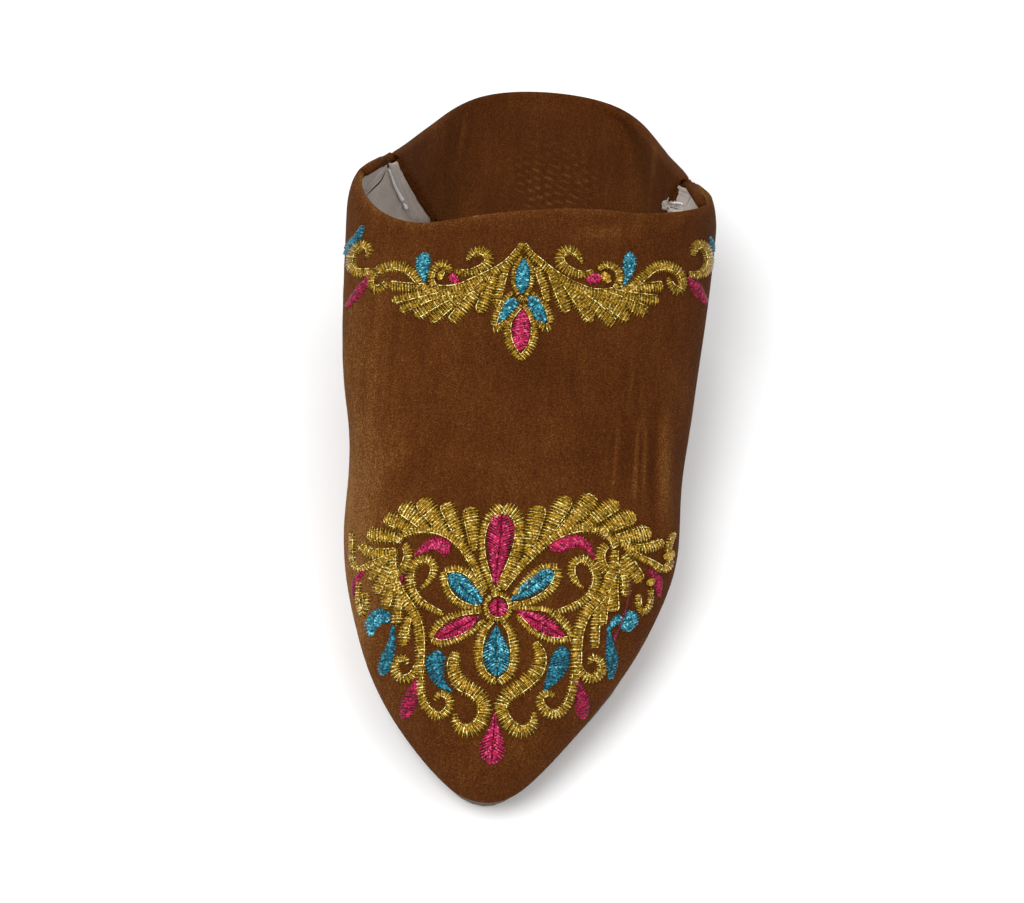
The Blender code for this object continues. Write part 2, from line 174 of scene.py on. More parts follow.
# A satin-stitched shape: its thread, its kind (plain, veined down the middle, or deep in tone), its two ends
# (r round, p pointed, b blunt), its widths at even steps along it, and the points of its middle line, all in
# the photograph's pixels
Stitch = namedtuple("Stitch", "thread kind ends widths points")
TOE_STITCHES = (
    # The flower's petals and its round eye
    Stitch("red", "veined", "pr", (2, 14, 24, 27, 26), ((273, 587), (275, 566), (277.5, 545), (279, 528),
            (280, 514))),
    Stitch("red", "veined", "pp", (2, 15, 17, 14, 4), ((256, 616), (236, 627), (213, 639))),
    Stitch("red", "veined", "pp", (3, 14, 17, 15, 5), ((295, 610), (318, 622), (341, 635.5))),
    Stitch("blue", "veined", "rr", (14, 17, 17, 16, 10), ((228, 573), (243, 588), (258.5, 602))),
    Stitch("blue", "veined", "pr", (3, 13, 16.5, 17, 12), ((290, 598), (311, 584), (331, 570.5))),
    Stitch("blue", "veined", "pp", (3, 17, 25, 23, 4), ((274.5, 625), (274, 649), (275.5, 674))),
    Stitch("red", "veined", "rr", (19, 20, 19), ((276, 597), (276, 606), (276, 615.5))),
    # Gold outlines of the petals
    Stitch("gold", "plain", "rp", (15, 9, 7, 7, 8, 5), ((281, 505), (266, 518), (260.5, 535), (260.5, 552),
            (264, 570), (272, 591))),
    Stitch("gold", "plain", "rp", (15, 12, 12, 12, 10, 5), ((282, 505), (295, 516), (298, 532), (294, 552),
            (285, 572), (274, 591))),
    Stitch("gold", "plain", "rb", (7, 8, 8, 7, 6), ((222, 569), (237, 568), (248, 573.5), (256, 583),
            (262, 594))),
    Stitch("gold", "plain", "rb", (8, 8, 8, 8, 6, 5), ((221.5, 570), (223, 583), (227.5, 593), (237, 602),
            (250, 606.5), (259, 606))),
    Stitch("gold", "plain", "rb", (8, 8, 8, 7, 6), ((336, 566), (324, 565.5), (311, 572.5), (300, 583),
            (292, 594))),
    Stitch("gold", "plain", "rb", (9, 9, 8, 7, 6, 5), ((336, 567), (335, 577), (328, 589), (314, 598.5),
            (300, 603), (291, 603))),
    Stitch("gold", "plain", "br", (5, 6, 7, 8, 7), ((259, 610), (243, 611.5), (227, 616), (214, 626),
            (208.5, 637))),
    Stitch("gold", "plain", "rb", (7, 7, 6.5, 6, 5), ((209, 638.5), (220, 642), (236, 637.5), (250, 630),
            (262, 620))),
    Stitch("gold", "plain", "br", (5, 5, 6, 8, 9, 7), ((292, 607), (307, 607), (324, 608.5), (338, 617.5),
            (347, 628), (349, 636))),
    Stitch("gold", "plain", "rb", (7, 6.5, 6.5, 6, 5), ((349, 637), (336, 639.5), (322, 636.5),
            (307, 627.5), (295, 614))),
    Stitch("gold", "plain", "br", (6, 8, 10, 9, 9, 8), ((270, 620), (262, 629), (257, 645), (257, 659),
            (262, 673), (274, 681.5))),
    Stitch("gold", "plain", "br", (6, 8, 10, 9, 9, 8), ((281, 620), (288, 629), (292, 645), (292, 659),
            (287.5, 673), (276, 681.5))),
    Stitch("gold", "plain", "bb", (5.5, 5.5), ((263, 606), (266.8, 596.8), (276, 593), (285.2, 596.8),
            (289, 606))),
    Stitch("gold", "plain", "bb", (5.5, 5.5), ((289, 606), (285.2, 615.2), (276, 619), (266.8, 615.2),
            (263, 606))),
    # Arches and their feathers
    Stitch("gold", "plain", "bb", (7, 9, 10, 9, 8, 8, 8), ((264, 588), (256, 572), (246, 553), (235, 540),
            (221, 531.5), (206, 528.5), (192, 529.5), (181, 534), (173, 541))),
    Stitch("gold", "plain", "bb", (7, 9, 11, 11, 9, 8, 8), ((281, 588), (292, 573), (303, 560),
            (315, 547.5), (328, 537.5), (343, 530.5), (360, 527), (376, 529), (388, 536.5), (393, 546))),
    Stitch("gold", "plain", "pr", (7, 14, 17), ((252, 549), (250, 528), (247.5, 506))),
    Stitch("gold", "plain", "pr", (8, 14, 16), ((240, 541), (231, 520), (222.5, 502))),
    Stitch("gold", "plain", "pr", (10, 17, 19), ((223, 531), (210, 514), (198, 499))),
    Stitch("gold", "plain", "pr", (10, 16, 18), ((204, 528), (192, 515), (178.5, 505))),
    Stitch("gold", "plain", "pr", (10, 14, 16), ((190, 530), (177, 522), (163, 516.5))),
    Stitch("gold", "plain", "pr", (9, 14, 16), ((180, 538), (165, 535), (146, 533))),
    Stitch("gold", "plain", "pr", (10, 12, 11, 8), ((176, 551), (160, 553), (147, 551), (137, 542))),
    Stitch("gold", "plain", "rp", (5, 6, 6, 6, 6, 8), ((130, 531), (130, 547), (131, 561), (138, 568),
            (150, 563), (164, 558))),
    Stitch("gold", "plain", "pr", (9, 16, 19), ((306, 552), (311, 530), (318, 504.5))),
    Stitch("gold", "plain", "pr", (9, 16, 19), ((322, 540), (333, 518), (346, 495.5))),
    Stitch("gold", "plain", "pr", (10, 16, 18), ((338, 532), (355, 514), (372, 494.5))),
    Stitch("gold", "plain", "pr", (9, 15, 16), ((362, 526), (378, 513), (396, 501))),
    Stitch("gold", "plain", "pr", (10, 16, 17), ((380, 530), (396, 521), (413, 514))),
    Stitch("gold", "plain", "pr", (9, 14, 16), ((393, 538), (409, 535), (428.5, 531))),
    Stitch("gold", "plain", "pr", (7, 9, 10, 9), ((398, 542), (415, 547), (430, 545), (441, 540))),
    Stitch("gold", "plain", "rp", (5, 6, 6, 7, 7, 6, 6), ((452, 531), (448, 541), (446, 552), (448, 562),
            (441, 568), (430, 562), (416, 555), (402, 546))),
    # Curled stems and open loops inside the arches
    Stitch("gold", "plain", "pp", (5, 8, 10, 9, 9, 8, 7, 3), ((221, 613), (207, 606), (195, 597),
            (189, 584), (189, 571), (194, 561), (203, 557.5), (211, 562), (212, 570), (208, 579),
            (199, 587))),
    Stitch("gold", "plain", "pp", (5, 8, 10, 10, 9, 8, 7, 3), ((335, 611), (349, 606), (362, 600),
            (371, 590), (374.5, 577), (370.5, 564), (360, 557.5), (351, 562), (349.5, 572), (354, 581),
            (361, 586))),
    Stitch("gold", "plain", "rb", (9, 9, 9), ((182, 543), (185.5, 548), (186, 557), (182, 567),
            (176, 572.5))),
    Stitch("gold", "plain", "rb", (9, 10, 10), ((385, 543), (379.5, 549), (378, 558), (381.5, 567),
            (388, 573.5))),
    Stitch("gold", "plain", "rr", (5, 6, 6), ((137, 580), (136.5, 598), (140.5, 613), (145, 602),
            (143.5, 591))),
    Stitch("gold", "plain", "rr", (5, 5.5, 5), ((428.5, 587), (428.5, 600), (424, 609), (419.5, 611),
            (416, 602), (416.5, 592))),
    Stitch("red", "plain", "pr", (2, 8, 12, 17, 19), ((193, 554), (201, 548), (210, 543.5), (219, 543),
            (229, 548))),
    Stitch("red", "plain", "pr", (2, 7, 11, 16, 19), ((372, 557), (366, 546), (356, 539), (343, 540.5),
            (329, 548))),
    Stitch("red", "deep", "pp", (3, 6, 3), ((181, 573), (178.5, 583), (182, 595))),
    Stitch("red", "deep", "pp", (2, 4, 2), ((389, 575), (386, 580), (383.5, 585))),
    Stitch("red", "deep", "pp", (3, 7, 3), ((142, 568.5), (133.5, 581), (132, 595))),
    Stitch("red", "deep", "pp", (4, 9, 3), ((427, 568), (436, 579), (437, 595))),
    Stitch("blue", "plain", "rp", (6, 13, 16, 13, 4), ((167, 621), (163, 614.5), (155, 616), (150, 625),
            (149.5, 635))),
    Stitch("blue", "plain", "pb", (3, 7, 11), ((386, 629), (392, 621), (400, 616))),
    Stitch("blue", "plain", "rr", (17, 19, 17), ((407, 609.5), (407, 619.5), (407, 629.5))),
    Stitch("blue", "deep", "pr", (3, 9, 14, 9), ((171.5, 625), (168.5, 645), (164, 660), (161, 674))),
    Stitch("blue", "deep", "pp", (3, 9, 13, 4), ((386.5, 629), (388, 645), (390, 660), (389, 677))),
    # The cascades down both sides and their long bands
    Stitch("gold", "plain", "br", (10, 12, 10), ((165, 555), (156, 566), (149, 579))),
    Stitch("gold", "plain", "br", (10, 12, 10), ((168, 566), (160, 580), (154.5, 593))),
    Stitch("gold", "plain", "br", (12, 14, 12), ((173, 568), (168, 588), (163.5, 608))),
    Stitch("gold", "plain", "br", (9, 11, 10), ((179, 594), (175.5, 610), (174.5, 624))),
    Stitch("gold", "plain", "br", (8, 11, 9), ((187, 616), (183, 631), (181, 645))),
    Stitch("gold", "plain", "br", (9, 13, 12), ((402, 553), (409, 566), (418.5, 580))),
    Stitch("gold", "plain", "br", (9, 10, 10), ((399, 560), (403, 578), (404, 595))),
    Stitch("gold", "plain", "br", (11, 14, 13), ((393, 560), (389, 587), (391, 611))),
    Stitch("gold", "plain", "br", (8, 9, 9), ((384, 594), (381, 610), (379.5, 624))),
    Stitch("gold", "plain", "br", (8, 9, 9), ((375, 606), (373, 626), (372, 647))),
    Stitch("gold", "plain", "bb", (8, 10, 11, 11, 11, 10), ((171, 548), (172, 570), (177, 588), (186, 602),
            (193.5, 615), (198, 630), (199, 648), (198.5, 668))),
    Stitch("gold", "plain", "bb", (8, 10, 11, 11, 11, 10), ((392, 550), (390, 570), (383, 587), (374, 600),
            (364, 611), (357.5, 625), (354.5, 642), (354, 667))),
    # Curls along the lower edge
    Stitch("gold", "plain", "bp", (8, 9, 9, 9, 8, 7, 4), ((197, 664), (190, 675), (179, 677), (173, 668),
            (175, 659), (183, 657), (186, 663))),
    Stitch("gold", "plain", "bp", (8, 9, 9, 9, 8, 7, 4), ((354, 663), (361, 674), (371, 677), (380, 669),
            (378, 659), (370, 656), (367, 663))),
    Stitch("gold", "plain", "bp", (9, 9, 9, 9, 8, 8, 7, 4), ((199, 668), (198, 688), (205, 706), (217, 715),
            (227, 707), (227, 696), (219, 692), (213, 698))),
    Stitch("gold", "plain", "bp", (9, 9, 9, 9, 9, 8, 7, 4), ((354, 668), (350, 690), (342, 707), (331, 713),
            (321, 707), (317.5, 697), (325, 691.5), (333, 695))),
    Stitch("gold", "plain", "rp", (9, 13, 15, 15, 14, 13, 13, 10, 4), ((235, 650), (231, 665), (238, 682),
            (252, 690), (262, 703), (259, 720), (247, 729), (235, 724), (233, 712))),
    Stitch("gold", "plain", "rp", (7, 12, 14, 15, 14, 13, 13, 13, 10, 4), ((312, 640), (318.5, 654),
            (315, 670), (300, 684), (286, 693), (279, 706), (286, 722), (299, 730), (310, 724),
            (312, 711))),
    Stitch("blue", "deep", "rp", (12, 19, 14, 8, 2), ((216, 649), (213, 661), (216, 675), (222, 684),
            (231, 690))),
    Stitch("blue", "deep", "rp", (12, 21, 17, 10, 2), ((338, 645), (338, 658), (335, 670), (328, 681),
            (322, 690))),
    Stitch("red", "veined", "pr", (2, 9, 21, 22, 12), ((273, 712), (272, 728), (270.5, 745), (269.5, 762))),
    Stitch("red", "deep", "pr", (3, 11, 16, 9), ((197, 672), (193, 686), (187, 702), (182.5, 717))),
    Stitch("red", "deep", "pr", (3, 9, 14.5, 8), ((354.5, 676), (357, 688), (360.5, 702), (361, 717))),
)
COLLAR_STITCHES = (
    # The medallion under the collar
    Stitch("blue", "plain", "pp", (4, 15, 15, 5), ((302, 258), (301, 270), (300.5, 280), (300, 292))),
    Stitch("blue", "plain", "rp", (12, 15, 10, 3), ((292, 297), (287, 305), (282, 313), (276.5, 321.5))),
    Stitch("blue", "plain", "rp", (11, 16, 14, 8), ((307, 296), (312.5, 303), (318, 311.5),
            (322.5, 321.5))),
    Stitch("red", "plain", "pr", (4, 16, 19, 17), ((302, 308), (299.5, 320), (298.5, 334), (298.5, 349.5))),
    Stitch("gold", "plain", "pb", (4, 5, 5, 5), ((300, 255), (293, 267), (291, 281), (297, 294))),
    Stitch("gold", "plain", "pb", (4, 5, 5, 5), ((303, 255), (310, 268), (310, 282), (304, 294))),
    Stitch("gold", "plain", "bb", (6, 6), ((297, 297), (301, 299), (305, 297))),
    Stitch("gold", "plain", "bp", (5, 6, 7, 8, 8, 6), ((300, 304), (292, 313), (286.5, 323), (286, 335),
            (290, 347), (298.5, 358))),
    Stitch("gold", "plain", "bp", (5, 6, 7, 8, 8, 6), ((302, 304), (308, 313), (311.5, 323), (312, 335),
            (308, 347), (298.5, 358))),
    Stitch("gold", "plain", "br", (5, 6, 7, 8), ((290, 291), (281, 300), (275, 312), (271, 325))),
    Stitch("gold", "plain", "rb", (8, 7, 5), ((270, 328), (277, 326.5), (284, 320))),
    Stitch("gold", "plain", "br", (5, 6, 7, 8), ((310, 292), (320, 300), (327, 311), (328.5, 322))),
    Stitch("gold", "plain", "rb", (8, 7, 5), ((329, 325), (322, 326.5), (315, 320))),
    # Wing feathers, then the roof bands that they hang from
    Stitch("gold", "plain", "br", (8, 9, 9), ((284, 266), (279, 284), (274, 305))),
    Stitch("gold", "plain", "br", (8, 12, 13), ((272, 275), (266, 292), (257, 312))),
    Stitch("gold", "plain", "br", (8, 11, 10), ((262, 282), (246, 301), (228.5, 321))),
    Stitch("gold", "plain", "br", (8, 10, 12), ((252, 286), (231, 302), (208.5, 320.5))),
    Stitch("gold", "plain", "br", (8, 10, 11), ((240, 290), (217, 301), (193, 315))),
    Stitch("gold", "plain", "br", (8, 10, 10), ((228, 290), (204, 298), (178.5, 309.5))),
    Stitch("gold", "plain", "br", (8, 9, 9), ((216, 289), (194, 294), (170.5, 299.5))),
    Stitch("gold", "plain", "br", (7, 9, 10), ((206, 286), (187, 286), (167.5, 284))),
    Stitch("gold", "plain", "br", (8, 9, 9), ((315, 266), (321, 283), (326, 301))),
    Stitch("gold", "plain", "br", (8, 13, 13), ((329, 272), (338, 292), (346, 311))),
    Stitch("gold", "plain", "br", (8, 12, 12), ((343, 282), (357, 301), (370, 320))),
    Stitch("gold", "plain", "br", (8, 10, 12), ((354, 288), (373, 306), (392, 323))),
    Stitch("gold", "plain", "br", (8, 11, 12), ((365, 291), (386, 304), (407, 318))),
    Stitch("gold", "plain", "br", (8, 11, 12), ((376, 291), (400, 301), (425, 311))),
    Stitch("gold", "plain", "br", (8, 10, 11), ((386, 291), (411, 296), (436, 299))),
    Stitch("gold", "plain", "br", (8, 10, 10), ((398, 289), (420, 287), (441, 284))),
    Stitch("gold", "plain", "pb", (5, 8, 8, 9, 10, 9, 8), ((300.5, 242.5), (293.5, 253), (285.5, 262),
            (275, 269), (263, 275.5), (250, 282), (238, 287), (225, 288.5), (212, 287.5))),
    Stitch("gold", "plain", "pb", (5, 8, 8, 9, 10, 9, 8), ((301.5, 242.5), (310, 254.5), (320, 263),
            (330.5, 271.5), (342, 279.5), (354, 286), (367, 291), (380, 292), (392, 290))),
    # Curls over the wings
    Stitch("gold", "plain", "pp", (4, 8, 10, 10, 10, 9, 7, 5), ((245, 259), (250, 252), (258, 249.5),
            (265.5, 253), (267, 260), (262, 266.5), (253, 270.5), (243, 272), (233, 270))),
    Stitch("gold", "plain", "pp", (4, 8, 10, 10, 10, 9, 7, 5), ((360, 262), (355.5, 252.5), (347, 248.5),
            (339.5, 252), (338, 260), (343, 267), (352, 272), (362, 273.5), (371, 270.5))),
    Stitch("gold", "plain", "bb", (6, 8, 8, 8, 6), ((228, 272), (225, 264), (217, 263.5), (211.5, 270),
            (209.5, 279), (214, 288))),
    Stitch("gold", "plain", "bb", (6, 8, 8, 9, 6), ((376, 268), (383, 264), (391, 265.5), (397, 272),
            (397.5, 280), (392, 288))),
    Stitch("gold", "plain", "pp", (4, 7, 4), ((223, 268), (219.5, 273), (216.5, 279))),
    Stitch("gold", "plain", "pp", (5, 9, 5), ((379, 271), (383.5, 276.5), (387, 281))),
    Stitch("red", "plain", "rr", (9, 13, 10), ((227, 276), (232, 278), (237, 280))),
    Stitch("red", "plain", "rr", (9, 12, 10), ((365, 280), (371, 277.5), (378, 274))),
    Stitch("blue", "plain", "rp", (8, 14, 13, 2), ((204, 251.5), (201, 258), (201.5, 267), (203, 283))),
    Stitch("blue", "plain", "rp", (8, 14, 11, 3), ((405, 251.5), (407.5, 260), (407, 270), (402, 284))),
    Stitch("gold", "plain", "pb", (5, 8, 8, 9, 10, 10, 9, 8), ((166, 281), (159, 287), (151, 287),
            (149.5, 277), (155, 270), (165, 265.5), (175, 265), (185, 268), (193, 275), (200, 284),
            (210, 290))),
    Stitch("gold", "plain", "pb", (4, 8, 8, 9, 10, 10, 9, 8), ((446, 277), (450, 286), (457, 289.5),
            (461, 281), (458, 272), (450, 266), (441, 264.5), (431, 267), (422, 274.5), (413, 283),
            (402, 290))),
    Stitch("gold", "plain", "pb", (4, 7, 9, 9, 9, 8, 6), ((145, 256), (147.5, 248), (142, 243),
            (134, 246.5), (129.5, 255), (129.5, 265), (135, 271), (144, 271), (153, 270))),
    Stitch("gold", "plain", "pb", (4, 8, 9, 9, 9, 8, 6), ((471.5, 254), (472, 246.5), (479, 243),
            (485, 249), (487, 259), (484, 269), (476, 273.5), (466, 273))),
    Stitch("blue", "deep", "pp", (4, 8, 9, 6), ((140.5, 225), (135, 236), (128, 245), (123.5, 253))),
    Stitch("blue", "deep", "pp", (3, 5, 4), ((487.5, 236), (490, 243), (491, 250))),
    Stitch("red", "deep", "pp", (4, 10, 5), ((148, 275), (137, 290), (125.5, 305))),
    Stitch("red", "deep", "pp", (4, 11, 4), ((465.5, 277.5), (475, 287), (484, 301))),
)


def camera_axes():
    """Across, upwards and backwards of the rolled camera."""
    back = Vector((0.0, -math.cos(CAMERA_PITCH), math.sin(CAMERA_PITCH)))
    right = Vector((1.0, 0.0, 0.0))
    up = back.cross(right)
    across = right * math.cos(CAMERA_ROLL) + up * math.sin(CAMERA_ROLL)
    upwards = up * math.cos(CAMERA_ROLL) - right * math.sin(CAMERA_ROLL)
    return across, upwards, back


ACROSS, UPWARDS, BACK = camera_axes()
EYE = CAMERA_TARGET + BACK * CAMERA_DISTANCE


def make_camera():
    data = bpy.data.cameras.new("camera")
    data.lens = LENS_MM
    data.sensor_width = SENSOR_MM
    data.clip_start = 0.01
    data.clip_end = 10.0
    camera = bpy.data.objects.new("camera", data)
    bpy.context.scene.collection.objects.link(camera)
    turn = Matrix((ACROSS, UPWARDS, BACK)).transposed().to_4x4()
    camera.matrix_world = Matrix.Translation(EYE) @ turn
    bpy.context.scene.camera = camera


def sight(px, py):
    """The line of sight of a pixel of the photograph."""
    aim = -BACK + ACROSS * ((px - TARGET_PX[0]) / FOCAL_PX) - UPWARDS * ((py - TARGET_PX[1]) / FOCAL_PX)
    return aim.normalized()


# Materials

def new_material(name):
    material = bpy.data.materials.new(name)
    material.use_nodes = True
    return material, material.node_tree, material.node_tree.nodes["Principled BSDF"]


def noise_at(tree, coordinates, scale, detail=2.0, stretch=(1.0, 1.0, 1.0)):
    """A noise texture over the slipper's own coordinates, drawn out along an axis by stretch."""
    mapping = tree.nodes.new("ShaderNodeMapping")
    mapping.inputs["Scale"].default_value = stretch
    tree.links.new(coordinates, mapping.inputs["Vector"])
    noise = tree.nodes.new("ShaderNodeTexNoise")
    noise.inputs["Scale"].default_value = scale
    noise.inputs["Detail"].default_value = detail
    tree.links.new(mapping.outputs["Vector"], noise.inputs["Vector"])
    return noise.outputs["Fac"]


def math_node(tree, operation, first, second, clamp=False):
    node = tree.nodes.new("ShaderNodeMath")
    node.operation = operation
    node.use_clamp = clamp
    for socket, value in zip(node.inputs, (first, second)):
        if isinstance(value, (int, float)):
            socket.default_value = value
        else:
            tree.links.new(value, socket)
    return node.outputs["Value"]


def ramp(tree, factor, stops):
    """A colour ramp through (place, colour) stops."""
    node = tree.nodes.new("ShaderNodeValToRGB")
    while len(node.color_ramp.elements) < len(stops):
        node.color_ramp.elements.new(0.5)
    for element, (place, colour) in zip(node.color_ramp.elements, stops):
        element.position = place
        element.color = (*colour, 1.0)
    tree.links.new(factor, node.inputs["Fac"])
    return node.outputs["Color"]


def bump(tree, shader, height, strength, distance):
    node = tree.nodes.new("ShaderNodeBump")
    node.inputs["Strength"].default_value = strength
    node.inputs["Distance"].default_value = distance
    tree.links.new(height, node.inputs["Height"])
    tree.links.new(node.outputs["Normal"], shader.inputs["Normal"])


def own_coordinates(tree):
    return tree.nodes.new("ShaderNodeTexCoord").outputs["Object"]


def attribute(tree, name):
    node = tree.nodes.new("ShaderNodeAttribute")
    node.attribute_name = name
    return node.outputs["Fac"]


def voronoi(tree, coordinates, scale):
    """A random grey for each small cell."""
    cells = tree.nodes.new("ShaderNodeTexVoronoi")
    cells.inputs["Scale"].default_value = scale
    tree.links.new(coordinates, cells.inputs["Vector"])
    split = tree.nodes.new("ShaderNodeSeparateColor")
    tree.links.new(cells.outputs["Color"], split.inputs["Color"])
    return split.outputs["Red"]


def mixed(tree, factor, first, second):
    node = tree.nodes.new("ShaderNodeMix")
    node.data_type = "RGBA"
    tree.links.new(factor, node.inputs["Factor"])
    tree.links.new(first, node.inputs["A"])
    tree.links.new(second, node.inputs["B"])
    return node.outputs["Result"]


def weave_height(tree, place):
    """The threads of a plain weave."""
    waves = []
    for direction in ("X", "Y", "Z"):
        wave = tree.nodes.new("ShaderNodeTexWave")
        wave.bands_direction = direction
        wave.inputs["Scale"].default_value = 420
        wave.inputs["Distortion"].default_value = 0.6
        tree.links.new(place, wave.inputs["Vector"])
        waves.append(wave.outputs["Fac"])
    return math_node(tree, "MULTIPLY", waves[1], math_node(tree, "ADD", waves[0], waves[2]))


def lining_colour(tree, place, weave):
    clouds = noise_at(tree, place, 140, 4)
    tone = math_node(tree, "ADD", math_node(tree, "MULTIPLY", clouds, 0.8),
                     math_node(tree, "MULTIPLY", weave, 0.12))
    return ramp(tree, tone, (
        (0.25, (0.420, 0.365, 0.325)),
        (0.70, (0.620, 0.555, 0.505)),
    ))


def quilting(tree, place):
    """The dashes of quilt_at, for the pile's tone, a painted highlight on the raised dashes, and its bump."""
    axes = tree.nodes.new("ShaderNodeSeparateXYZ")
    tree.links.new(place, axes.inputs["Vector"])
    x, y = (math_node(tree, "DIVIDE", axes.outputs[axis], MM) for axis in "XY")
    drift = math_node(tree, "ADD", math_node(tree, "MULTIPLY", x, QUILT_DRIFT[0]),
                      math_node(tree, "MULTIPLY", y, QUILT_DRIFT[1]))
    bend = math_node(tree, "MULTIPLY", math_node(tree, "SINE", drift, 0.0), QUILT_BEND)
    across = math_node(tree, "ADD", math_node(tree, "MULTIPLY", x, 2 * math.pi / QUILT_ACROSS), bend)
    slanted = math_node(tree, "ADD", y, math_node(tree, "MULTIPLY", x, QUILT_SLANT))
    along = math_node(tree, "SUBTRACT", math_node(tree, "MULTIPLY", slanted, 2 * math.pi / QUILT_ALONG), bend)
    waves = [math_node(tree, "SINE", wave, 0.0) for wave in (across, along)]
    return math_node(tree, "MAXIMUM", math_node(tree, "MULTIPLY", *waves), 0.0)


def velvet_material():
    """Short brown pile with streaks, brushed patches, quilting and a soft sheen, and past the
    turned rim its grey lining. The brushed patches are partly painted sheen and shade, the creases carry
    painted shade and highlight, the collar's rim a painted highlight, the quarter a painted shade and the
    quilting's raised dashes a painted highlight."""
    material, tree, shader = new_material("velvet")
    place = own_coordinates(tree)
    streaks = noise_at(tree, place, 330, 5, (1.0, 0.10, 0.5))
    clouds = noise_at(tree, place, 38, 3)
    crimp = noise_at(tree, place, 900, 2, (1.8, 0.5, 0.8))
    pile = noise_at(tree, place, 2600, 1)
    # Brushed pile tone together with its painted sheen, shade and highlight, carried on the mesh
    nap_and_light = attribute(tree, "nap_and_light")
    wear = math_node(tree, "SUBTRACT", math_node(tree, "MULTIPLY", noise_at(tree, place, 220, 2), 2.6), 0.5,
                     clamp=True)
    quilt = math_node(tree, "MULTIPLY", attribute(tree, "quilt"), quilting(tree, place))
    quilt = math_node(tree, "MULTIPLY", quilt, wear)
    tone = math_node(tree, "MULTIPLY", streaks, 0.28)
    tone = math_node(tree, "ADD", tone, math_node(tree, "MULTIPLY", clouds, 0.34))
    tone = math_node(tree, "ADD", tone, math_node(tree, "MULTIPLY", pile, 1.05))
    tone = math_node(tree, "ADD", tone, math_node(tree, "MULTIPLY", crimp, 0.30))
    tone = math_node(tree, "ADD", tone, math_node(tree, "MULTIPLY", nap_and_light, 0.34))
    # The quilting's raised dashes painted lighter: a painted highlight
    tone = math_node(tree, "ADD", tone, math_node(tree, "MULTIPLY", quilt, 0.34))
    tone = math_node(tree, "SUBTRACT", tone, 0.545, clamp=True)
    colour = ramp(tree, tone, (
        (0.10, (0.034, 0.0085, 0.0012)),
        (0.42, (0.070, 0.0185, 0.0030)),
        (0.68, (0.112, 0.0390, 0.0075)),
        (0.98, (0.225, 0.1100, 0.0340)),
    ))
    weave = weave_height(tree, place)
    inside = math_node(tree, "MULTIPLY", attribute(tree, "lining"), 4.0, clamp=True)
    tree.links.new(mixed(tree, inside, colour, lining_colour(tree, place, weave)), shader.inputs["Base Color"])
    shader.inputs["Roughness"].default_value = 0.9
    shader.inputs["Specular IOR Level"].default_value = 0.05
    shader.inputs["Sheen Weight"].default_value = 0.03
    shader.inputs["Sheen Roughness"].default_value = 0.35
    shader.inputs["Sheen Tint"].default_value = (0.90, 0.55, 0.25, 1.0)
    height = math_node(tree, "ADD", pile, math_node(tree, "MULTIPLY", crimp, 0.8))
    bump(tree, shader, math_node(tree, "ADD", height, quilt), 0.7, 0.25 * MM)
    return material


def lining_material():
    """Grey-white plain-woven cloth, for the loose hems and gussets."""
    material, tree, shader = new_material("lining_cloth")
    place = own_coordinates(tree)
    weave = weave_height(tree, place)
    tree.links.new(lining_colour(tree, place, weave), shader.inputs["Base Color"])
    shader.inputs["Roughness"].default_value = 0.95
    shader.inputs["Specular IOR Level"].default_value = 0.15
    bump(tree, shader, weave, 0.5, 0.12 * MM)
    return material


def leather_material(name, dark, light, roughness, grain):
    """Leather: clouded colour, fine creased grain and a few scuffs."""
    material, tree, shader = new_material(name)
    place = own_coordinates(tree)
    clouds = noise_at(tree, place, 60, 5)
    fibres = noise_at(tree, place, 900, 3, (1.0, 0.35, 2.5))
    cells = tree.nodes.new("ShaderNodeTexVoronoi")
    cells.feature = "DISTANCE_TO_EDGE"
    cells.inputs["Scale"].default_value = grain
    tree.links.new(place, cells.inputs["Vector"])
    tone = math_node(tree, "ADD", math_node(tree, "MULTIPLY", clouds, 0.7),
                     math_node(tree, "MULTIPLY", fibres, 0.35))
    colour = ramp(tree, tone, ((0.25, dark), (0.80, light)))
    tree.links.new(colour, shader.inputs["Base Color"])
    shader.inputs["Roughness"].default_value = roughness
    shader.inputs["Coat Weight"].default_value = 0.08
    shader.inputs["Coat Roughness"].default_value = 0.4
    height = math_node(tree, "ADD", math_node(tree, "MULTIPLY", cells.outputs["Distance"], 0.6), fibres)
    bump(tree, shader, height, 0.35, 0.15 * MM)
    return material


# Thread colours from shadow to bright. The bright stop is the colour of painted glints; the shadow stop is
# reached by painted shade and by the deep threads' own dark dye.
ThreadLook = namedtuple("ThreadLook", "shadow dark middle light bright metallic roughness strand glint twist")
THREAD_LOOKS = {
    "gold": ThreadLook((0.050, 0.028, 0.002), (0.165, 0.092, 0.004), (0.335, 0.185, 0.010),
                       (0.570, 0.335, 0.034), (1.000, 0.930, 0.400), 0.60, 0.38, 0.50, 0.56, 0.24),
    "red": ThreadLook((0.070, 0.001, 0.009), (0.205, 0.001, 0.028), (0.385, 0.003, 0.055),
                      (0.550, 0.011, 0.090), (0.800, 0.135, 0.285), 0.05, 0.55, 0.22, 0.86, 0.34),
    "blue": ThreadLook((0.002, 0.035, 0.052), (0.003, 0.082, 0.120), (0.010, 0.170, 0.245),
                       (0.042, 0.330, 0.430), (0.300, 0.800, 0.880), 0.05, 0.55, 0.22, 0.86, 0.34),
}
MEAN_TONE = 0.47


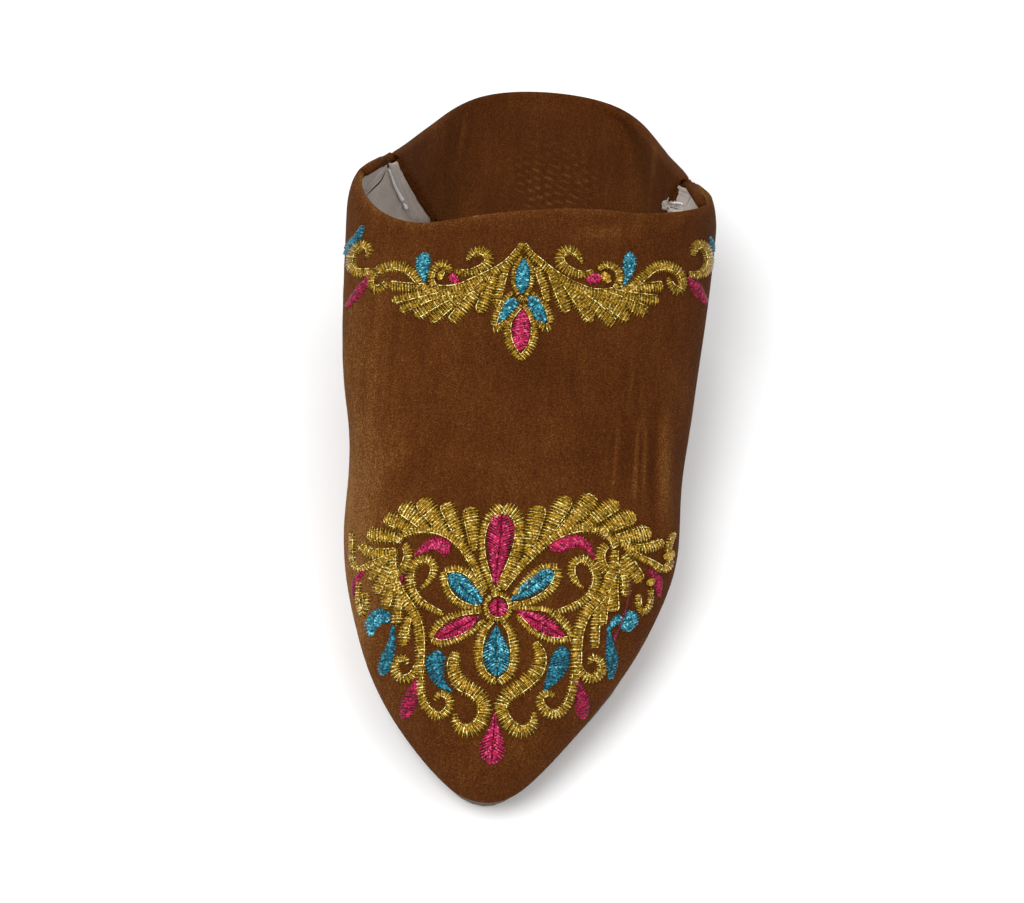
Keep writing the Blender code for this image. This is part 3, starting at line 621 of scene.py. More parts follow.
def thread_material(name):
    """Glittering thread: each strand has its own tone, broken up into small painted glints, with painted light
    and shade along its twist.
    """
    look = THREAD_LOOKS[name]
    material, tree, shader = new_material(name + "_thread")
    place = own_coordinates(tree)
    glints = voronoi(tree, place, 2200)
    twist = noise_at(tree, place, 1400, 1)
    # Painted glints and painted light along the twist, over each strand's tone
    tone = math_node(tree, "MULTIPLY", attribute(tree, "tone"), look.strand)
    tone = math_node(tree, "ADD", tone, math_node(tree, "MULTIPLY", glints, look.glint))
    tone = math_node(tree, "ADD", tone, math_node(tree, "MULTIPLY", twist, look.twist))
    excess = (look.strand + look.glint + look.twist) / 2 - MEAN_TONE
    tone = math_node(tree, "SUBTRACT", tone, excess, clamp=True)
    colour = ramp(tree, tone, (
        (0.08, look.shadow),
        (0.28, look.dark),
        (0.50, look.middle),
        (0.72, look.light),
        (0.94, look.bright),
    ))
    tree.links.new(colour, shader.inputs["Base Color"])
    shader.inputs["Metallic"].default_value = look.metallic
    shader.inputs["Roughness"].default_value = look.roughness
    shader.inputs["Specular IOR Level"].default_value = 0.30
    bump(tree, shader, math_node(tree, "ADD", glints, twist), 0.6, 0.10 * MM)
    return material


def plain_thread_material(name, colour, roughness):
    """Spun cotton thread, with its twist as bump."""
    material, tree, shader = new_material(name)
    place = own_coordinates(tree)
    fuzz = noise_at(tree, place, 1800, 2)
    dark = tuple(0.75 * part for part in colour)
    tree.links.new(ramp(tree, fuzz, ((0.3, dark), (0.7, colour))), shader.inputs["Base Color"])
    shader.inputs["Roughness"].default_value = roughness
    bump(tree, shader, fuzz, 0.6, 0.1 * MM)
    return material


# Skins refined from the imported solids

def new_piece(name, data, slot, *materials):
    """A piece of the slipper: an object that rides on the body, with the given materials. The slot is not used.
    """
    piece = bpy.data.objects.new(name, data)
    bpy.context.scene.collection.objects.link(piece)
    for material in materials:
        data.materials.append(material)
    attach(piece, BODY)
    return piece


def refined_mesh(node, levels, held_below=0.0):
    """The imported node's mesh welded, turned back into quads and subdivided smooth, as a bmesh. Its sharp
    edges that lie below held_below keep their line."""
    mesh = bmesh.new()
    mesh.from_mesh(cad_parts[node].data)
    bmesh.ops.remove_doubles(mesh, verts=mesh.verts, dist=WELD)
    bmesh.ops.join_triangles(mesh, faces=mesh.faces, angle_face_threshold=QUAD_ANGLE,
                             angle_shape_threshold=QUAD_ANGLE)
    crease = mesh.edges.layers.float.new("crease_edge")
    for edge in mesh.edges:
        low = max(vertex.co.z for vertex in edge.verts) < held_below
        if low and edge.calc_face_angle(0.0) > HELD_ANGLE:
            edge[crease] = HELD_CREASE
    coarse = bpy.data.meshes.new(node + "_coarse")
    mesh.to_mesh(coarse)
    mesh.free()
    holder = bpy.data.objects.new(node + "_coarse", coarse)
    bpy.context.scene.collection.objects.link(holder)
    smooth = holder.modifiers.new("smooth", "SUBSURF")
    smooth.levels = levels
    smooth.render_levels = levels
    holder_view = holder.evaluated_get(bpy.context.evaluated_depsgraph_get())
    fine = bmesh.new()
    fine.from_mesh(holder_view.to_mesh())
    holder_view.to_mesh_clear()
    bpy.data.objects.remove(holder)
    bpy.data.meshes.remove(coarse)
    return fine


def faces_out(face):
    """Whether a face of the vamp looks away from the space inside."""
    centre = face.calc_center_median()
    spine = Vector((0.0, max(centre.y, cad_box[0].y + TOE_ROUND), SPINE_HEIGHT))
    return face.normal.dot(centre - spine) > 0


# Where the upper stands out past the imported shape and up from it: side and along as above, the rest in mm
Swell = namedtuple("Swell", "side along reach_side reach_along out up")
SWELLS = (
    Swell(0.96, 0.700, 12, 8, 1.6, 0.0),
    Swell(0.86, 0.700, 17, 15, 0.0, -4.0),
    Swell(0.84, 0.745, 12, 17, 1.8, 0.0),
    Swell(0.90, 0.265, 12, 16, 1.0, 0.0),
    Swell(-0.94, 0.690, 12, 8, 0.8, 0.0),
    Swell(-0.95, 0.450, 12, 24, 0.7, 0.0),
    Swell(-0.90, 0.240, 12, 26, 0.4, 0.0),
    Swell(-0.66, 0.110, 12, 18, 0.7, 0.0),
)
SWELL_FOOT = 18 * MM
SWELL_RISE = 18 * MM


def outward(places):
    """The way out of the slipper from its inner spine, level with the floor or upwards."""
    spine = np.zeros_like(places)
    spine[:, 1] = np.maximum(places[:, 1], cad_box[0].y + TOE_ROUND)
    spine[:, 2] = SPINE_HEIGHT
    away = places - spine
    return away / np.linalg.norm(away, axis=1)[:, None]


def swelling(places):
    """How each place moves with the swells."""
    moves = np.zeros_like(places)
    away = outward(places)
    raised = np.clip((places[:, 2] - SWELL_FOOT) / SWELL_RISE, 0.0, 1.0)
    for swell in SWELLS:
        across = (places[:, 0] - swell.side * half_width) / (swell.reach_side * MM)
        along = (places[:, 1] - cad_box[0].y - swell.along * length) / (swell.reach_along * MM)
        part = np.exp(-(across**2 + along**2)) * MM
        moves += away * (swell.out * part)[:, None]
        moves[:, 2] += swell.up * part * raised
    return moves


def smooth_hump(values):
    """1 at 0, falling softly with distance."""
    return np.exp(-values**2)


def crease_parts(places):
    """For each crease, how strongly each place lies in its trough."""
    for crease in CREASES:
        start = np.array((crease.side0 * half_width, cad_box[0].y + crease.along0 * length))
        end = np.array((crease.side1 * half_width, cad_box[0].y + crease.along1 * length))
        run = end - start
        share = np.clip((places[:, :2] - start) @ run / (run @ run), 0.0, 1.0)
        away = np.linalg.norm(places[:, :2] - start - share[:, None] * run, axis=1)
        fade = np.sin(math.pi * np.clip(share, 0.02, 0.98)) ** 0.7
        width = crease.width * MM
        yield crease, fade * (smooth_hump(away / width) - 0.35 * smooth_hump((away - 1.8 * width) / width))


def relief(places):
    """How far the creases lift each place, in metres."""
    return sum(-crease.depth * MM * part for crease, part in crease_parts(places))


def nap_and_light_tones(places):
    """The brushed tone of each place, partly painted sheen and shade, with the creases' painted shade and
    highlight added.
    """
    tones = np.zeros(len(places))
    for patch in NAP_AND_SHEEN_PATCHES:
        across = (places[:, 0] - patch.side * half_width) / (patch.reach_side * MM)
        along = (places[:, 1] - cad_box[0].y - patch.along * length) / (patch.reach_along * MM)
        tones += patch.amount * np.exp(-(across**2 + along**2))
    return tones + sum(crease.tone * part for crease, part in crease_parts(places))


COLLAR_LOWEST = 42 * MM
# A painted highlight along the collar's rim: how light, and how far it reaches
RIM_HIGHLIGHT = 0.85
RIM_HIGHLIGHT_REACH = 2.0 * MM
RAY_START = 0.01 * MM
FLAP_CLEAR = 40 * MM
FLAP_SLOPE = 0.15
# Painted shade over the whole trodden quarter, darker than the vamp
QUARTER_SHADE = -0.22
QUILT_HEIGHT = 0.22 * MM
QUILT_CENTRE = (6.0, 90.0)
QUILT_REACH = (14.0, 19.0)
QUILT_ACROSS = 7.2
QUILT_ALONG = 3.4
QUILT_SLANT = 0.35
QUILT_BEND = 1.1
QUILT_DRIFT = (0.33, 0.21)
QUILT_CUTS = 2
QUILT_LEAST = 0.03
QUILT_EDGE = 3 * MM
OFF_LINING = -2.0


def quilt_mask(place):
    """How far the quilting shows at a place of the trodden quarter."""
    across = (place.x / MM - QUILT_CENTRE[0]) / QUILT_REACH[0]
    along = (place.y / MM - QUILT_CENTRE[1]) / QUILT_REACH[1]
    return math.exp(-(across**2 + along**2) ** 1.5)


def quilt_at(place):
    """Slanting rows of small soft dashes, set like bricks."""
    x, y = place.x / MM, place.y / MM
    bend = QUILT_BEND * math.sin(QUILT_DRIFT[0] * x + QUILT_DRIFT[1] * y)
    across = math.sin(2 * math.pi * x / QUILT_ACROSS + bend)
    along = math.sin(2 * math.pi * (y + QUILT_SLANT * x) / QUILT_ALONG - bend)
    return max(across * along, 0.0)


def set_attribute(data, name, values):
    layer = data.attributes.new(name, "FLOAT", "POINT")
    layer.data.foreach_set("value", np.asarray(values, np.float32))


def mesh_places(data):
    places = np.zeros(len(data.vertices) * 3, np.float32)
    data.vertices.foreach_get("co", places)
    return places.reshape(-1, 3).astype(float)


def mesh_normals(data):
    normals = np.zeros(len(data.vertices) * 3, np.float32)
    data.vertex_normals.foreach_get("vector", normals)
    return normals.reshape(-1, 3).astype(float)


def link_outer(mesh, outer):
    """The mesh's rim vertices, between outer and inner faces, and its inner vertices."""
    rim, inner = [], []
    for vertex in mesh.verts:
        sides = {outer[face.index] for face in vertex.link_faces}
        if len(sides) == 2:
            rim.append(vertex)
        elif sides == {False}:
            inner.append(vertex)
    return rim, inner


def make_vamp(velvet):
    """The front of the upper: velvet outside and round the rim, lining inside."""
    mesh = refined_mesh("upper_vamp", 2)
    outside = [face for face in mesh.faces if faces_out(face)]
    edges = list({edge for face in outside for edge in face.edges})
    bmesh.ops.subdivide_edges(mesh, edges=edges, cuts=1, use_grid_fill=True)
    mesh.normal_update()
    rim, inner = link_outer(mesh, [faces_out(face) for face in mesh.faces])
    collar = [vertex.co for vertex in rim if vertex.co.z > COLLAR_LOWEST]
    tree = KDTree(len(collar))
    for k, place in enumerate(collar):
        tree.insert(place, k)
    tree.balance()
    lining = np.full(len(mesh.verts), OFF_LINING)
    for vertex in inner:
        share = min(max(vertex.co.x / half_width, 0.0), 1.0)
        turned = TURNED_RIM_LEFT + share * (TURNED_RIM_RIGHT - TURNED_RIM_LEFT)
        lining[vertex.index] = min(tree.find(vertex.co)[2] / MM - turned, -OFF_LINING)
    # A painted highlight along the collar's rim
    rim_highlight = np.array([RIM_HIGHLIGHT * math.exp(-(tree.find(vertex.co)[2] / RIM_HIGHLIGHT_REACH) ** 2)
                         for vertex in mesh.verts])
    data = bpy.data.meshes.new("vamp_velvet")
    mesh.to_mesh(data)
    mesh.free()
    data.shade_smooth()
    places = mesh_places(data)
    moved = places + outward(places) * relief(places)[:, None] + swelling(places)
    data.vertices.foreach_set("co", moved.astype(np.float32).ravel())
    data.update()
    set_attribute(data, "nap_and_light", nap_and_light_tones(places) + rim_highlight)
    set_attribute(data, "lining", lining)
    vamp = new_piece("vamp_velvet", data, "velvet", velvet)
    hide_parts("upper_vamp")
    return vamp


def make_quarter(velvet):
    """The trodden back of the upper. Its lining is on the faces that look at its own underside."""
    mesh = refined_mesh("upper_quarter", 3, FLAP_TOP)
    mesh.normal_update()
    quilted = [face for face in mesh.faces
               if face.normal.z > FLAP_SLOPE and quilt_mask(face.calc_center_median()) > QUILT_LEAST]
    front = min(face.calc_center_median().y for face in quilted) + QUILT_EDGE
    edges = list({edge for face in quilted for edge in face.edges if face.calc_center_median().y > front})
    bmesh.ops.subdivide_edges(mesh, edges=edges, cuts=QUILT_CUTS, use_grid_fill=True)
    mesh.normal_update()
    tree = BVHTree.FromBMesh(mesh)
    outer = []
    for face in mesh.faces:
        centre = face.calc_center_median()
        away = tree.ray_cast(centre + face.normal * RAY_START, face.normal)[3]
        open_sky = away is None or (away > FLAP_CLEAR and face.normal.z > FLAP_SLOPE)
        outer.append(open_sky)
    rim, inner = link_outer(mesh, outer)
    lining = np.full(len(mesh.verts), OFF_LINING)
    for vertex in inner:
        lining[vertex.index] = -OFF_LINING
    quilt = np.array([quilt_mask(vertex.co) * max(vertex.normal.z, 0.0) for vertex in mesh.verts])
    dashes = np.array([quilt_at(vertex.co) for vertex in mesh.verts])
    data = bpy.data.meshes.new("quarter_velvet")
    mesh.to_mesh(data)
    mesh.free()
    data.shade_smooth()
    places = mesh_places(data)
    normals = mesh_normals(data)
    lift = QUILT_HEIGHT * quilt * dashes + relief(places) * np.clip(normals[:, 2], 0.0, 1.0)
    moved = places + normals * lift[:, None] + swelling(places)
    data.vertices.foreach_set("co", moved.astype(np.float32).ravel())
    data.update()
    # The pile's tone with painted shade over the whole quarter
    set_attribute(data, "nap_and_light", nap_and_light_tones(places) + QUARTER_SHADE)
    set_attribute(data, "quilt", quilt)
    set_attribute(data, "lining", lining)
    quarter = new_piece("quarter_velvet", data, "velvet", velvet)
    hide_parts("upper_quarter")
    return quarter


class Skin:
    """The faces of some pieces, for laying thread and cloth on them."""

    def __init__(self, *pieces):
        places, faces = [], []
        for piece in pieces:
            first = len(places)
            places.extend(vertex.co.copy() for vertex in piece.data.vertices)
            faces.extend(tuple(first + k for k in face.vertices) for face in piece.data.polygons)
        self.tree = BVHTree.FromPolygons(places, faces)

    def under(self, px, py):
        """The point and normal that a pixel of the photograph shows, or None."""
        place, normal, index, away = self.tree.ray_cast(EYE, sight(px, py))
        return None if place is None else (place, normal)

    def under_or_near(self, px, py, depth):
        """As under, and past the outline the nearest point of the skin."""
        found = self.under(px, py)
        if found:
            return found
        place, normal, index, away = self.tree.find_nearest(EYE + sight(px, py) * depth)
        return place, normal


# Embroidery

def spline(points, count):
    """Count points of a smooth curve through the given ones."""
    points = np.asarray(points, float)
    if points.ndim == 1:
        points = points[:, None]
    ends = np.vstack((2 * points[0] - points[1], points, 2 * points[-1] - points[-2]))
    places = np.linspace(0, len(points) - 1, count)
    k = np.minimum(places.astype(int), len(points) - 2)
    u = (places - k)[:, None]
    a, b, c, d = ends[k], ends[k + 1], ends[k + 2], ends[k + 3]
    return 0.5 * (2 * b + (c - a) * u + (2 * a - 5 * b + 4 * c - d) * u**2 + (3 * b - a - 3 * c + d) * u**3)


def rounded(width, from_start, to_end, ends):
    """The width of a shape near its round ends."""
    for end, away in zip(ends, (from_start, to_end)):
        reach = width / 2
        if end == "r" and away < reach:
            width = width * math.sqrt(max(1 - (1 - away / reach) ** 2, 0.02))
    return width


class ThreadMesh:
    """The strands of one thread colour, gathered into one mesh."""

    def __init__(self):
        self.places = []
        self.faces = []
        self.tones = []

    def ring_strip(self, rows, closed, tone):
        """Faces between rows of points, with one tone or a list of one for each row. Closed rows make a
        tube, with its two ends filled."""
        first = len(self.places)
        size = len(rows[0])
        for k, row in enumerate(rows):
            self.places.extend(row)
            self.tones.extend([tone[k] if isinstance(tone, list) else tone] * size)
        turns = size if closed else size - 1
        for k in range(len(rows) - 1):
            low = first + k * size
            for j in range(turns):
                after = (j + 1) % size
                self.faces.append((low + j, low + after, low + size + after, low + size + j))
        if closed:
            last = first + (len(rows) - 1) * size
            self.faces.append(tuple(range(first + size - 1, first - 1, -1)))
            self.faces.append(tuple(range(last, last + size)))

    def strand(self, line, normals, radii, tone):
        """One thread along a line that lies on the skin."""
        rows = []
        line = [Vector(place) for place in line]
        for k, (place, normal) in enumerate(zip(line, normals)):
            run = (line[min(k + 1, len(line) - 1)] - line[max(k - 1, 0)]).normalized()
            side = run.cross(normal).normalized()
            row = []
            for j in range(THREAD_SIDES):
                turn = 2 * math.pi * j / THREAD_SIDES
                row.append(place + (side * math.cos(turn) + normal * math.sin(turn)) * radii[k])
            rows.append(row)
        self.ring_strip(rows, True, tone)

    def piece(self, name, slot, material):
        data = bpy.data.meshes.new(name)
        data.from_pydata([tuple(place) for place in self.places], [], self.faces)
        data.shade_smooth()
        set_attribute(data, "tone", self.tones)
        return new_piece(name, data, slot, material)


def stations(stitch, skin, pitch):
    """The middle line of a stitched shape, one pitch apart on the skin: (pixel, direction, width, depth)."""
    points = np.asarray(stitch.points, float)
    rough = np.linalg.norm(np.diff(points, axis=0), axis=1).sum()
    count = max(int(rough / PATH_STEP_PX), 8)
    path = spline(points, count)
    widths = spline(stitch.widths, count)[:, 0]
    steps = np.linalg.norm(np.diff(path, axis=0), axis=1)
    run = np.concatenate(([0.0], np.cumsum(steps)))
    found, travelled, last, depth = [], pitch, None, CAMERA_DISTANCE
    for k in range(count):
        hit = skin.under(*path[k])
        if hit is None:
            continue
        place = hit[0]
        depth = (place - EYE).length
        if last is not None:
            travelled += (place - last).length
        last = place
        if travelled < pitch:
            continue
        travelled -= pitch
        towards = path[min(k + 1, count - 1)] - path[max(k - 1, 0)]
        towards = towards / np.linalg.norm(towards)
        width = rounded(widths[k], run[k], run[-1] - run[k], stitch.ends)
        found.append((path[k], towards, max(width, 0.8), depth))
    return found


def strand_line(skin, start, end, depth, crown, sink):
    """Points and normals of a strand from pixel to pixel, arched over the skin by crown."""
    line, normals = [], []
    for share in STRAND_SHARES:
        place, normal = skin.under_or_near(*(start + (end - start) * share), depth)
        arch = (4 * share * (1 - share)) ** 0.55
        line.append(place + normal * (crown * arch - sink))
        normals.append(normal)
    return line, normals


STRAND_THICKNESS = tuple(0.6 + 0.4 * math.sin(math.pi * share) ** 0.5 for share in STRAND_SHARES)


def hollow_side(stitch):
    """The side of a shape's middle line that it bends round: 1 on its left, -1 on its right."""
    points = np.asarray(stitch.points, float)
    runs = np.diff(points, axis=0)
    turn = (runs[:-1, 0] * runs[1:, 1] - runs[:-1, 1] * runs[1:, 0]).sum()
    return 1 if turn >= 0 else -1


def sew_highlight_rib(mesh, rib):
    """A beaded bright thread along one side of a shape, its bright tones a painted highlight."""
    if len(rib) < 3:
        return
    line = [place for place, normal in rib]
    normals = [normal for place, normal in rib]
    radii = [RIB_RADIUS * (0.85 + 0.35 * math.cos(2 * math.pi * k * GOLD_PITCH / RIB_BEAD))
             for k in range(len(rib))]
    mesh.strand(line, normals, radii, [random.choice(RIB_HIGHLIGHT_TONES) for place in line])


# Tones of the rib's beads, the brightest a painted highlight along the shape's edge
RIB_HIGHLIGHT_TONES = (0.1, 0.4, 0.6, 1.6, 2.0)
DEEP_TONE = -0.85
# Painted shade over the collar ornament's gold, which lies brighter under the lamps than the toe's
COLLAR_SHADE = -0.14
# Painted shade: the padding's dark tone
PADDING_SHADE = -0.6
# Gold strands are light and dark by turns, the dark ones a painted shade between the strands' crests,
# and darker towards their ends, a painted shade between the feathers
LIGHT_STRAND = (0.50, 1.00)
DARK_STRAND = (0.10, 0.50)
END_TONES = (-0.30, -0.08, 0.05, 0.05, -0.08, -0.30)


def sew(stitch, skin, meshes, shade):
    """Lays one stitched shape: a padding painted dark as the shade under the strands, and strands across it
    from edge to edge or edge to vein.
    """
    gold = stitch.thread == "gold"
    pitch = GOLD_PITCH if gold else SILK_PITCH
    radius = GOLD_RADIUS if gold else SILK_RADIUS
    spread = GOLD_SPREAD if gold else 1.0
    mesh = meshes[stitch.thread]
    slant = 0.10 if gold else 0.35
    side = hollow_side(stitch) if len(stitch.points) > 2 else 1
    radii = [radius * part for part in STRAND_THICKNESS]
    padding, rib = [], []
    for k, (middle, towards, width, depth) in enumerate(stations(stitch, skin, pitch)):
        across = np.array((-towards[1], towards[0]))
        width = width * spread
        crown = min(LOW_CROWN + CROWN_SHARE * width * depth / FOCAL_PX, HIGH_CROWN)
        crown += BAND_LIFT if stitch.ends == "bb" else 0.0
        reach = width / 2 * (LONG_STRAND if k % 2 else SHORT_STRAND) * random.uniform(0.95, 1.05)
        left = middle + across * reach
        right = middle - across * reach
        tone = random.uniform(*(LIGHT_STRAND if k % 2 else DARK_STRAND)) if gold else random.random()
        tone += DEEP_TONE if stitch.kind == "deep" else 0.0
        tone += shade if gold else 0.0
        lean = towards * (slant * width / 2)
        if stitch.kind == "veined":
            halves = ((left + lean, middle - lean * 0.4, tone),
                      (middle - lean * 0.4, right + lean, random.random()))
        else:
            halves = ((left + lean, right - lean, tone),)
        for start, end, thread_tone in halves:
            line, normals = strand_line(skin, start, end, depth, crown, 0.10 * MM)
            tones = [thread_tone + end_tone for end_tone in END_TONES] if gold else thread_tone
            mesh.strand(line, normals, radii, tones)
        if stitch.kind != "veined":
            line, normals = strand_line(skin, left + lean, right - lean, depth, crown * 0.55, 0.12 * MM)
            padding.append(line)
        if gold and width > RIB_LEAST_WIDTH_PX:
            place, normal = skin.under_or_near(*(middle + across * (side * RIB_PLACE * width)), depth)
            rib.append((place + normal * (crown * 0.95 + radius * 0.4), normal))
    if len(padding) > 1:
        mesh.ring_strip(padding, False, PADDING_SHADE)
    sew_highlight_rib(mesh, rib)


def make_embroidery(skin):
    """Every stitched shape, as one piece for each thread and ornament."""
    looks = {name: thread_material(name) for name in THREAD_LOOKS}
    for ornament, stitches, shade in (("toe", TOE_STITCHES, 0.0), ("collar", COLLAR_STITCHES, COLLAR_SHADE)):
        meshes = {name: ThreadMesh() for name in THREAD_LOOKS}
        for stitch in stitches:
            sew(stitch, skin, meshes, shade)
        for name, mesh in meshes.items():
            mesh.piece(ornament + "_" + name + "_embroidery", name + "_thread", looks[name])
    make_loose_ends(skin, {name + "_thread": look for name, look in looks.items()})


# Loose cloth and thread at the side seams

# A cord laid where the photograph shows it: radii in mm at even steps, the share of its width that its
# thickness has, its lift off what it lies on in mm, and its pixels
Cord = namedtuple("Cord", "name look radii flat lift points")
CORDS = (
    Cord("left_lining_hem", "lining_cloth", (0.5, 0.95, 1.00, 0.95, 0.5), 0.32, -0.1,
         ((143, 189.5), (148, 183.5), (153.5, 177), (160, 170), (165, 163.5))),
    # A dark line painted where the hem's edge throws its shadow on the lining
    Cord("left_hem_shadow_line", "hem_shadow", (0.12, 0.26, 0.26, 0.14), 0.5, 0.0,
         ((144.5, 194), (151, 187), (158.5, 179.5), (163.5, 169.5))),
    Cord("left_sewing_thread", "white_thread", (0.30, 0.38, 0.44, 0.54, 0.76, 0.95), 0.8, 0.45,
         ((165.5, 167), (168.5, 176), (172, 185), (175.5, 192.5), (178.5, 198.5), (180.5, 202))),
    Cord("left_knot", "white_thread", (0.50, 0.62, 0.62, 0.44), 0.9, 0.9,
         ((180, 202), (181, 206), (184, 205.5), (184.5, 202.5), (182.5, 201))),
    Cord("left_knot_end", "white_thread", (0.16, 0.16, 0.12), 1.0, 0.4,
         ((183, 205), (184.5, 208), (187, 209.5))),
    Cord("left_seam_stitch", "white_thread", (0.10, 0.24, 0.10), 0.8, 0.35,
         ((194.5, 204), (196.5, 206), (198, 208.5))),
    Cord("right_sewing_thread", "white_thread", (0.18, 0.28, 0.28, 0.20), 0.9, 0.8,
         ((451, 201), (455, 200.5), (459.5, 200), (463.5, 202.5))),
)
TUFT_STRANDS = 150
TUFT_CENTRE_PX = (449.0, 203.5)
TUFT_REACH_PX = (6.5, 3.6)
TUFT_RADIUS = 0.15 * MM
TUFT_STEP = 0.28 * MM
CORD_STEPS = 28
CORD_TONES = {"red_thread": -1.0, "gold_thread": 0.6}
GUSSET_STEPS = (10, 26)
GUSSET_SAG = 0.8 * MM
NUB_STEPS = 9
GUSSET_TAIL = 7
GUSSET_TAIL_STEP = 0.6 * MM
GUSSET_START = (0.3, 0.3, 0.25, 0.15, 0.05, -0.05, -0.12)
FLAP_EDGE_RADIUS = 0.95 * MM

# The cloth that bridges each side seam: pixels down the vamp's lining and down the edge of the flap,
# the shift in pixels onto the flap, and the pixels that the corner's nub follows
Gusset = namedtuple("Gusset", "name lining flap shift nub")
GUSSETS = (
    Gusset("left", ((165.5, 161), (171.5, 180), (178, 198), (185.5, 215)),
           ((177, 158.5), (186.5, 177), (200, 199), (212.5, 216)), 1.5,
           ((161, 158), (167.5, 155), (175.5, 158.5))),
    Gusset("right", ((472, 187), (469, 195), (465, 203), (460, 211)),
           ((460, 182.5), (456, 189), (451, 197.5), (445.5, 208)), -1.5,
           ((473, 186), (467, 182.5), (460.5, 181))),
)


def cord_piece(name, slot, material, line, normals, radii, flat):
    """A soft cord along a line, as a piece."""
    mesh = ThreadMesh()
    rows = []
    for k, (place, normal) in enumerate(zip(line, normals)):
        run = (line[min(k + 1, len(line) - 1)] - line[max(k - 1, 0)]).normalized()
        side = run.cross(normal).normalized()
        turns = [2 * math.pi * j / 10 for j in range(10)]
        rows.append([place + (side * math.cos(turn) + normal * math.sin(turn) * flat) * radii[k]
                     for turn in turns])
    mesh.ring_strip(rows, True, CORD_TONES.get(slot, 0.5))
    return mesh.piece(name, slot, material)


def lay_cord(cord, skin, materials):
    """A cord of the table, on whatever its pixels show."""
    path = spline(cord.points, CORD_STEPS)
    radii = spline(cord.radii, CORD_STEPS)[:, 0] * MM
    line, normals = [], []
    for k, (px, py) in enumerate(path):
        place, normal = skin.under_or_near(px, py, CAMERA_DISTANCE)
        line.append(place + normal * (cord.lift * MM + radii[k] * cord.flat * 0.5))
        normals.append(normal)
    line = [(line[max(k - 1, 0)] + line[k] + line[min(k + 1, len(line) - 1)]) / 3 for k in range(len(line))]
    slot = cord.look if cord.look.endswith("_thread") else "lining_cloth"
    cord_piece(cord.name, slot, materials[cord.look], line, normals, radii, cord.flat)


def make_gusset(gusset, skin, materials, velvet):
    """The lining cloth across a side seam, the flap's rolled edge and the nub that closes the corner."""
    rows_down, steps = GUSSET_STEPS[1], GUSSET_STEPS[0]
    inner_path = spline(gusset.lining, rows_down)
    flap_path = spline(gusset.flap, rows_down)
    rows, edge, edge_normals = [], [], []
    for (ax, ay), (bx, by) in zip(inner_path, flap_path):
        start, start_normal = skin.under_or_near(ax, ay, CAMERA_DISTANCE)
        end, end_normal = skin.under_or_near(bx + gusset.shift, by, CAMERA_DISTANCE)
        edge.append(end - end_normal * 0.2 * MM - Vector((gusset.shift, 0, 0)).normalized() * 0.9 * MM)
        edge_normals.append(end_normal)
        start = start + start_normal * GUSSET_START[min(len(rows), len(GUSSET_START) - 1)] * MM
        end = end - end_normal * 0.9 * MM
        row = []
        for j in range(steps + 1):
            share = j / steps
            sag = 4 * share * (1 - share) * GUSSET_SAG
            row.append(start.lerp(end, share) - Vector((0, 0, sag)))
        rows.append(row)
    for step in range(1, GUSSET_TAIL + 1):
        drop = Vector((0, 0, step * GUSSET_TAIL_STEP))
        rows.append([last - drop for last in rows[rows_down - 1]])
        edge.append(edge[rows_down - 1] - drop)
        edge_normals.append(edge_normals[rows_down - 1])
    mesh = ThreadMesh()
    mesh.ring_strip(rows, False, 0.5)
    cloth = mesh.piece(gusset.name + "_lining_gusset", "lining_cloth", materials["lining_cloth"])
    thick = cloth.modifiers.new("cloth", "SOLIDIFY")
    thick.thickness = 0.4 * MM
    thick.offset = 0.0
    smooth = len(edge)
    radii = [FLAP_EDGE_RADIUS * (0.8 + 0.2 * math.sin(math.pi * k / (smooth - 1))) for k in range(smooth)]
    cord_piece(gusset.name + "_flap_edge", "velvet", velvet, edge, edge_normals, radii, 0.8)
    path = spline(gusset.nub, NUB_STEPS)
    found = [skin.under_or_near(px, py, CAMERA_DISTANCE) for px, py in path]
    bulge = [math.sin(math.pi * k / (NUB_STEPS - 1)) for k in range(NUB_STEPS)]
    line = [place + Vector((0, 0, 0.3 * MM * part)) for (place, normal), part in zip(found, bulge)]
    normals = [normal.lerp(Vector((0, 0, 1)), 0.5).normalized() for place, normal in found]
    cord_piece(gusset.name + "_corner_nub", "velvet", velvet, line, normals,
               [(0.6 + 0.75 * part) * MM for part in bulge], 0.9)
    return cloth


SEAM_PLACE = 0.746
SEAM_FOOT = 4 * MM
SEAM_STEP = 1.5 * MM
SEAM_REACH = 1.8 * MM
SEAM_JUMP = 3 * MM
WELT_RADIUS = 1.0 * MM
WELT_FLATNESS = 0.3
WELT_LIFT = 0.12 * MM


def make_side_seams(skin, velvet):
    """A flat velvet welt outside each side seam, from just over the sole to the collar's corner."""
    along = cad_box[0].y + SEAM_PLACE * length
    for name, side in (("left", -1), ("right", 1)):
        line, normals, below = [], [], None
        for step in range(int(cad_box[1].z / SEAM_STEP)):
            height = SEAM_FOOT + step * SEAM_STEP
            hits = [skin.tree.ray_cast(Vector((side * 2 * half_width, along + shift, height)),
                                       Vector((-side, 0, 0)))
                    for shift in (-SEAM_REACH, SEAM_REACH)]
            if None in (hits[0][0], hits[1][0]):
                break
            sides = [hit[0].x for hit in hits]
            if below and max(abs(now - before) for now, before in zip(sides, below)) > SEAM_JUMP:
                break
            below = sides
            normals.append((hits[0][1] + hits[1][1]).normalized())
            line.append((hits[0][0] + hits[1][0]) / 2 + normals[-1] * WELT_LIFT)
        radii = [WELT_RADIUS] * len(line)
        cord_piece(name + "_side_welt", "velvet", velvet, line, normals, radii, WELT_FLATNESS)


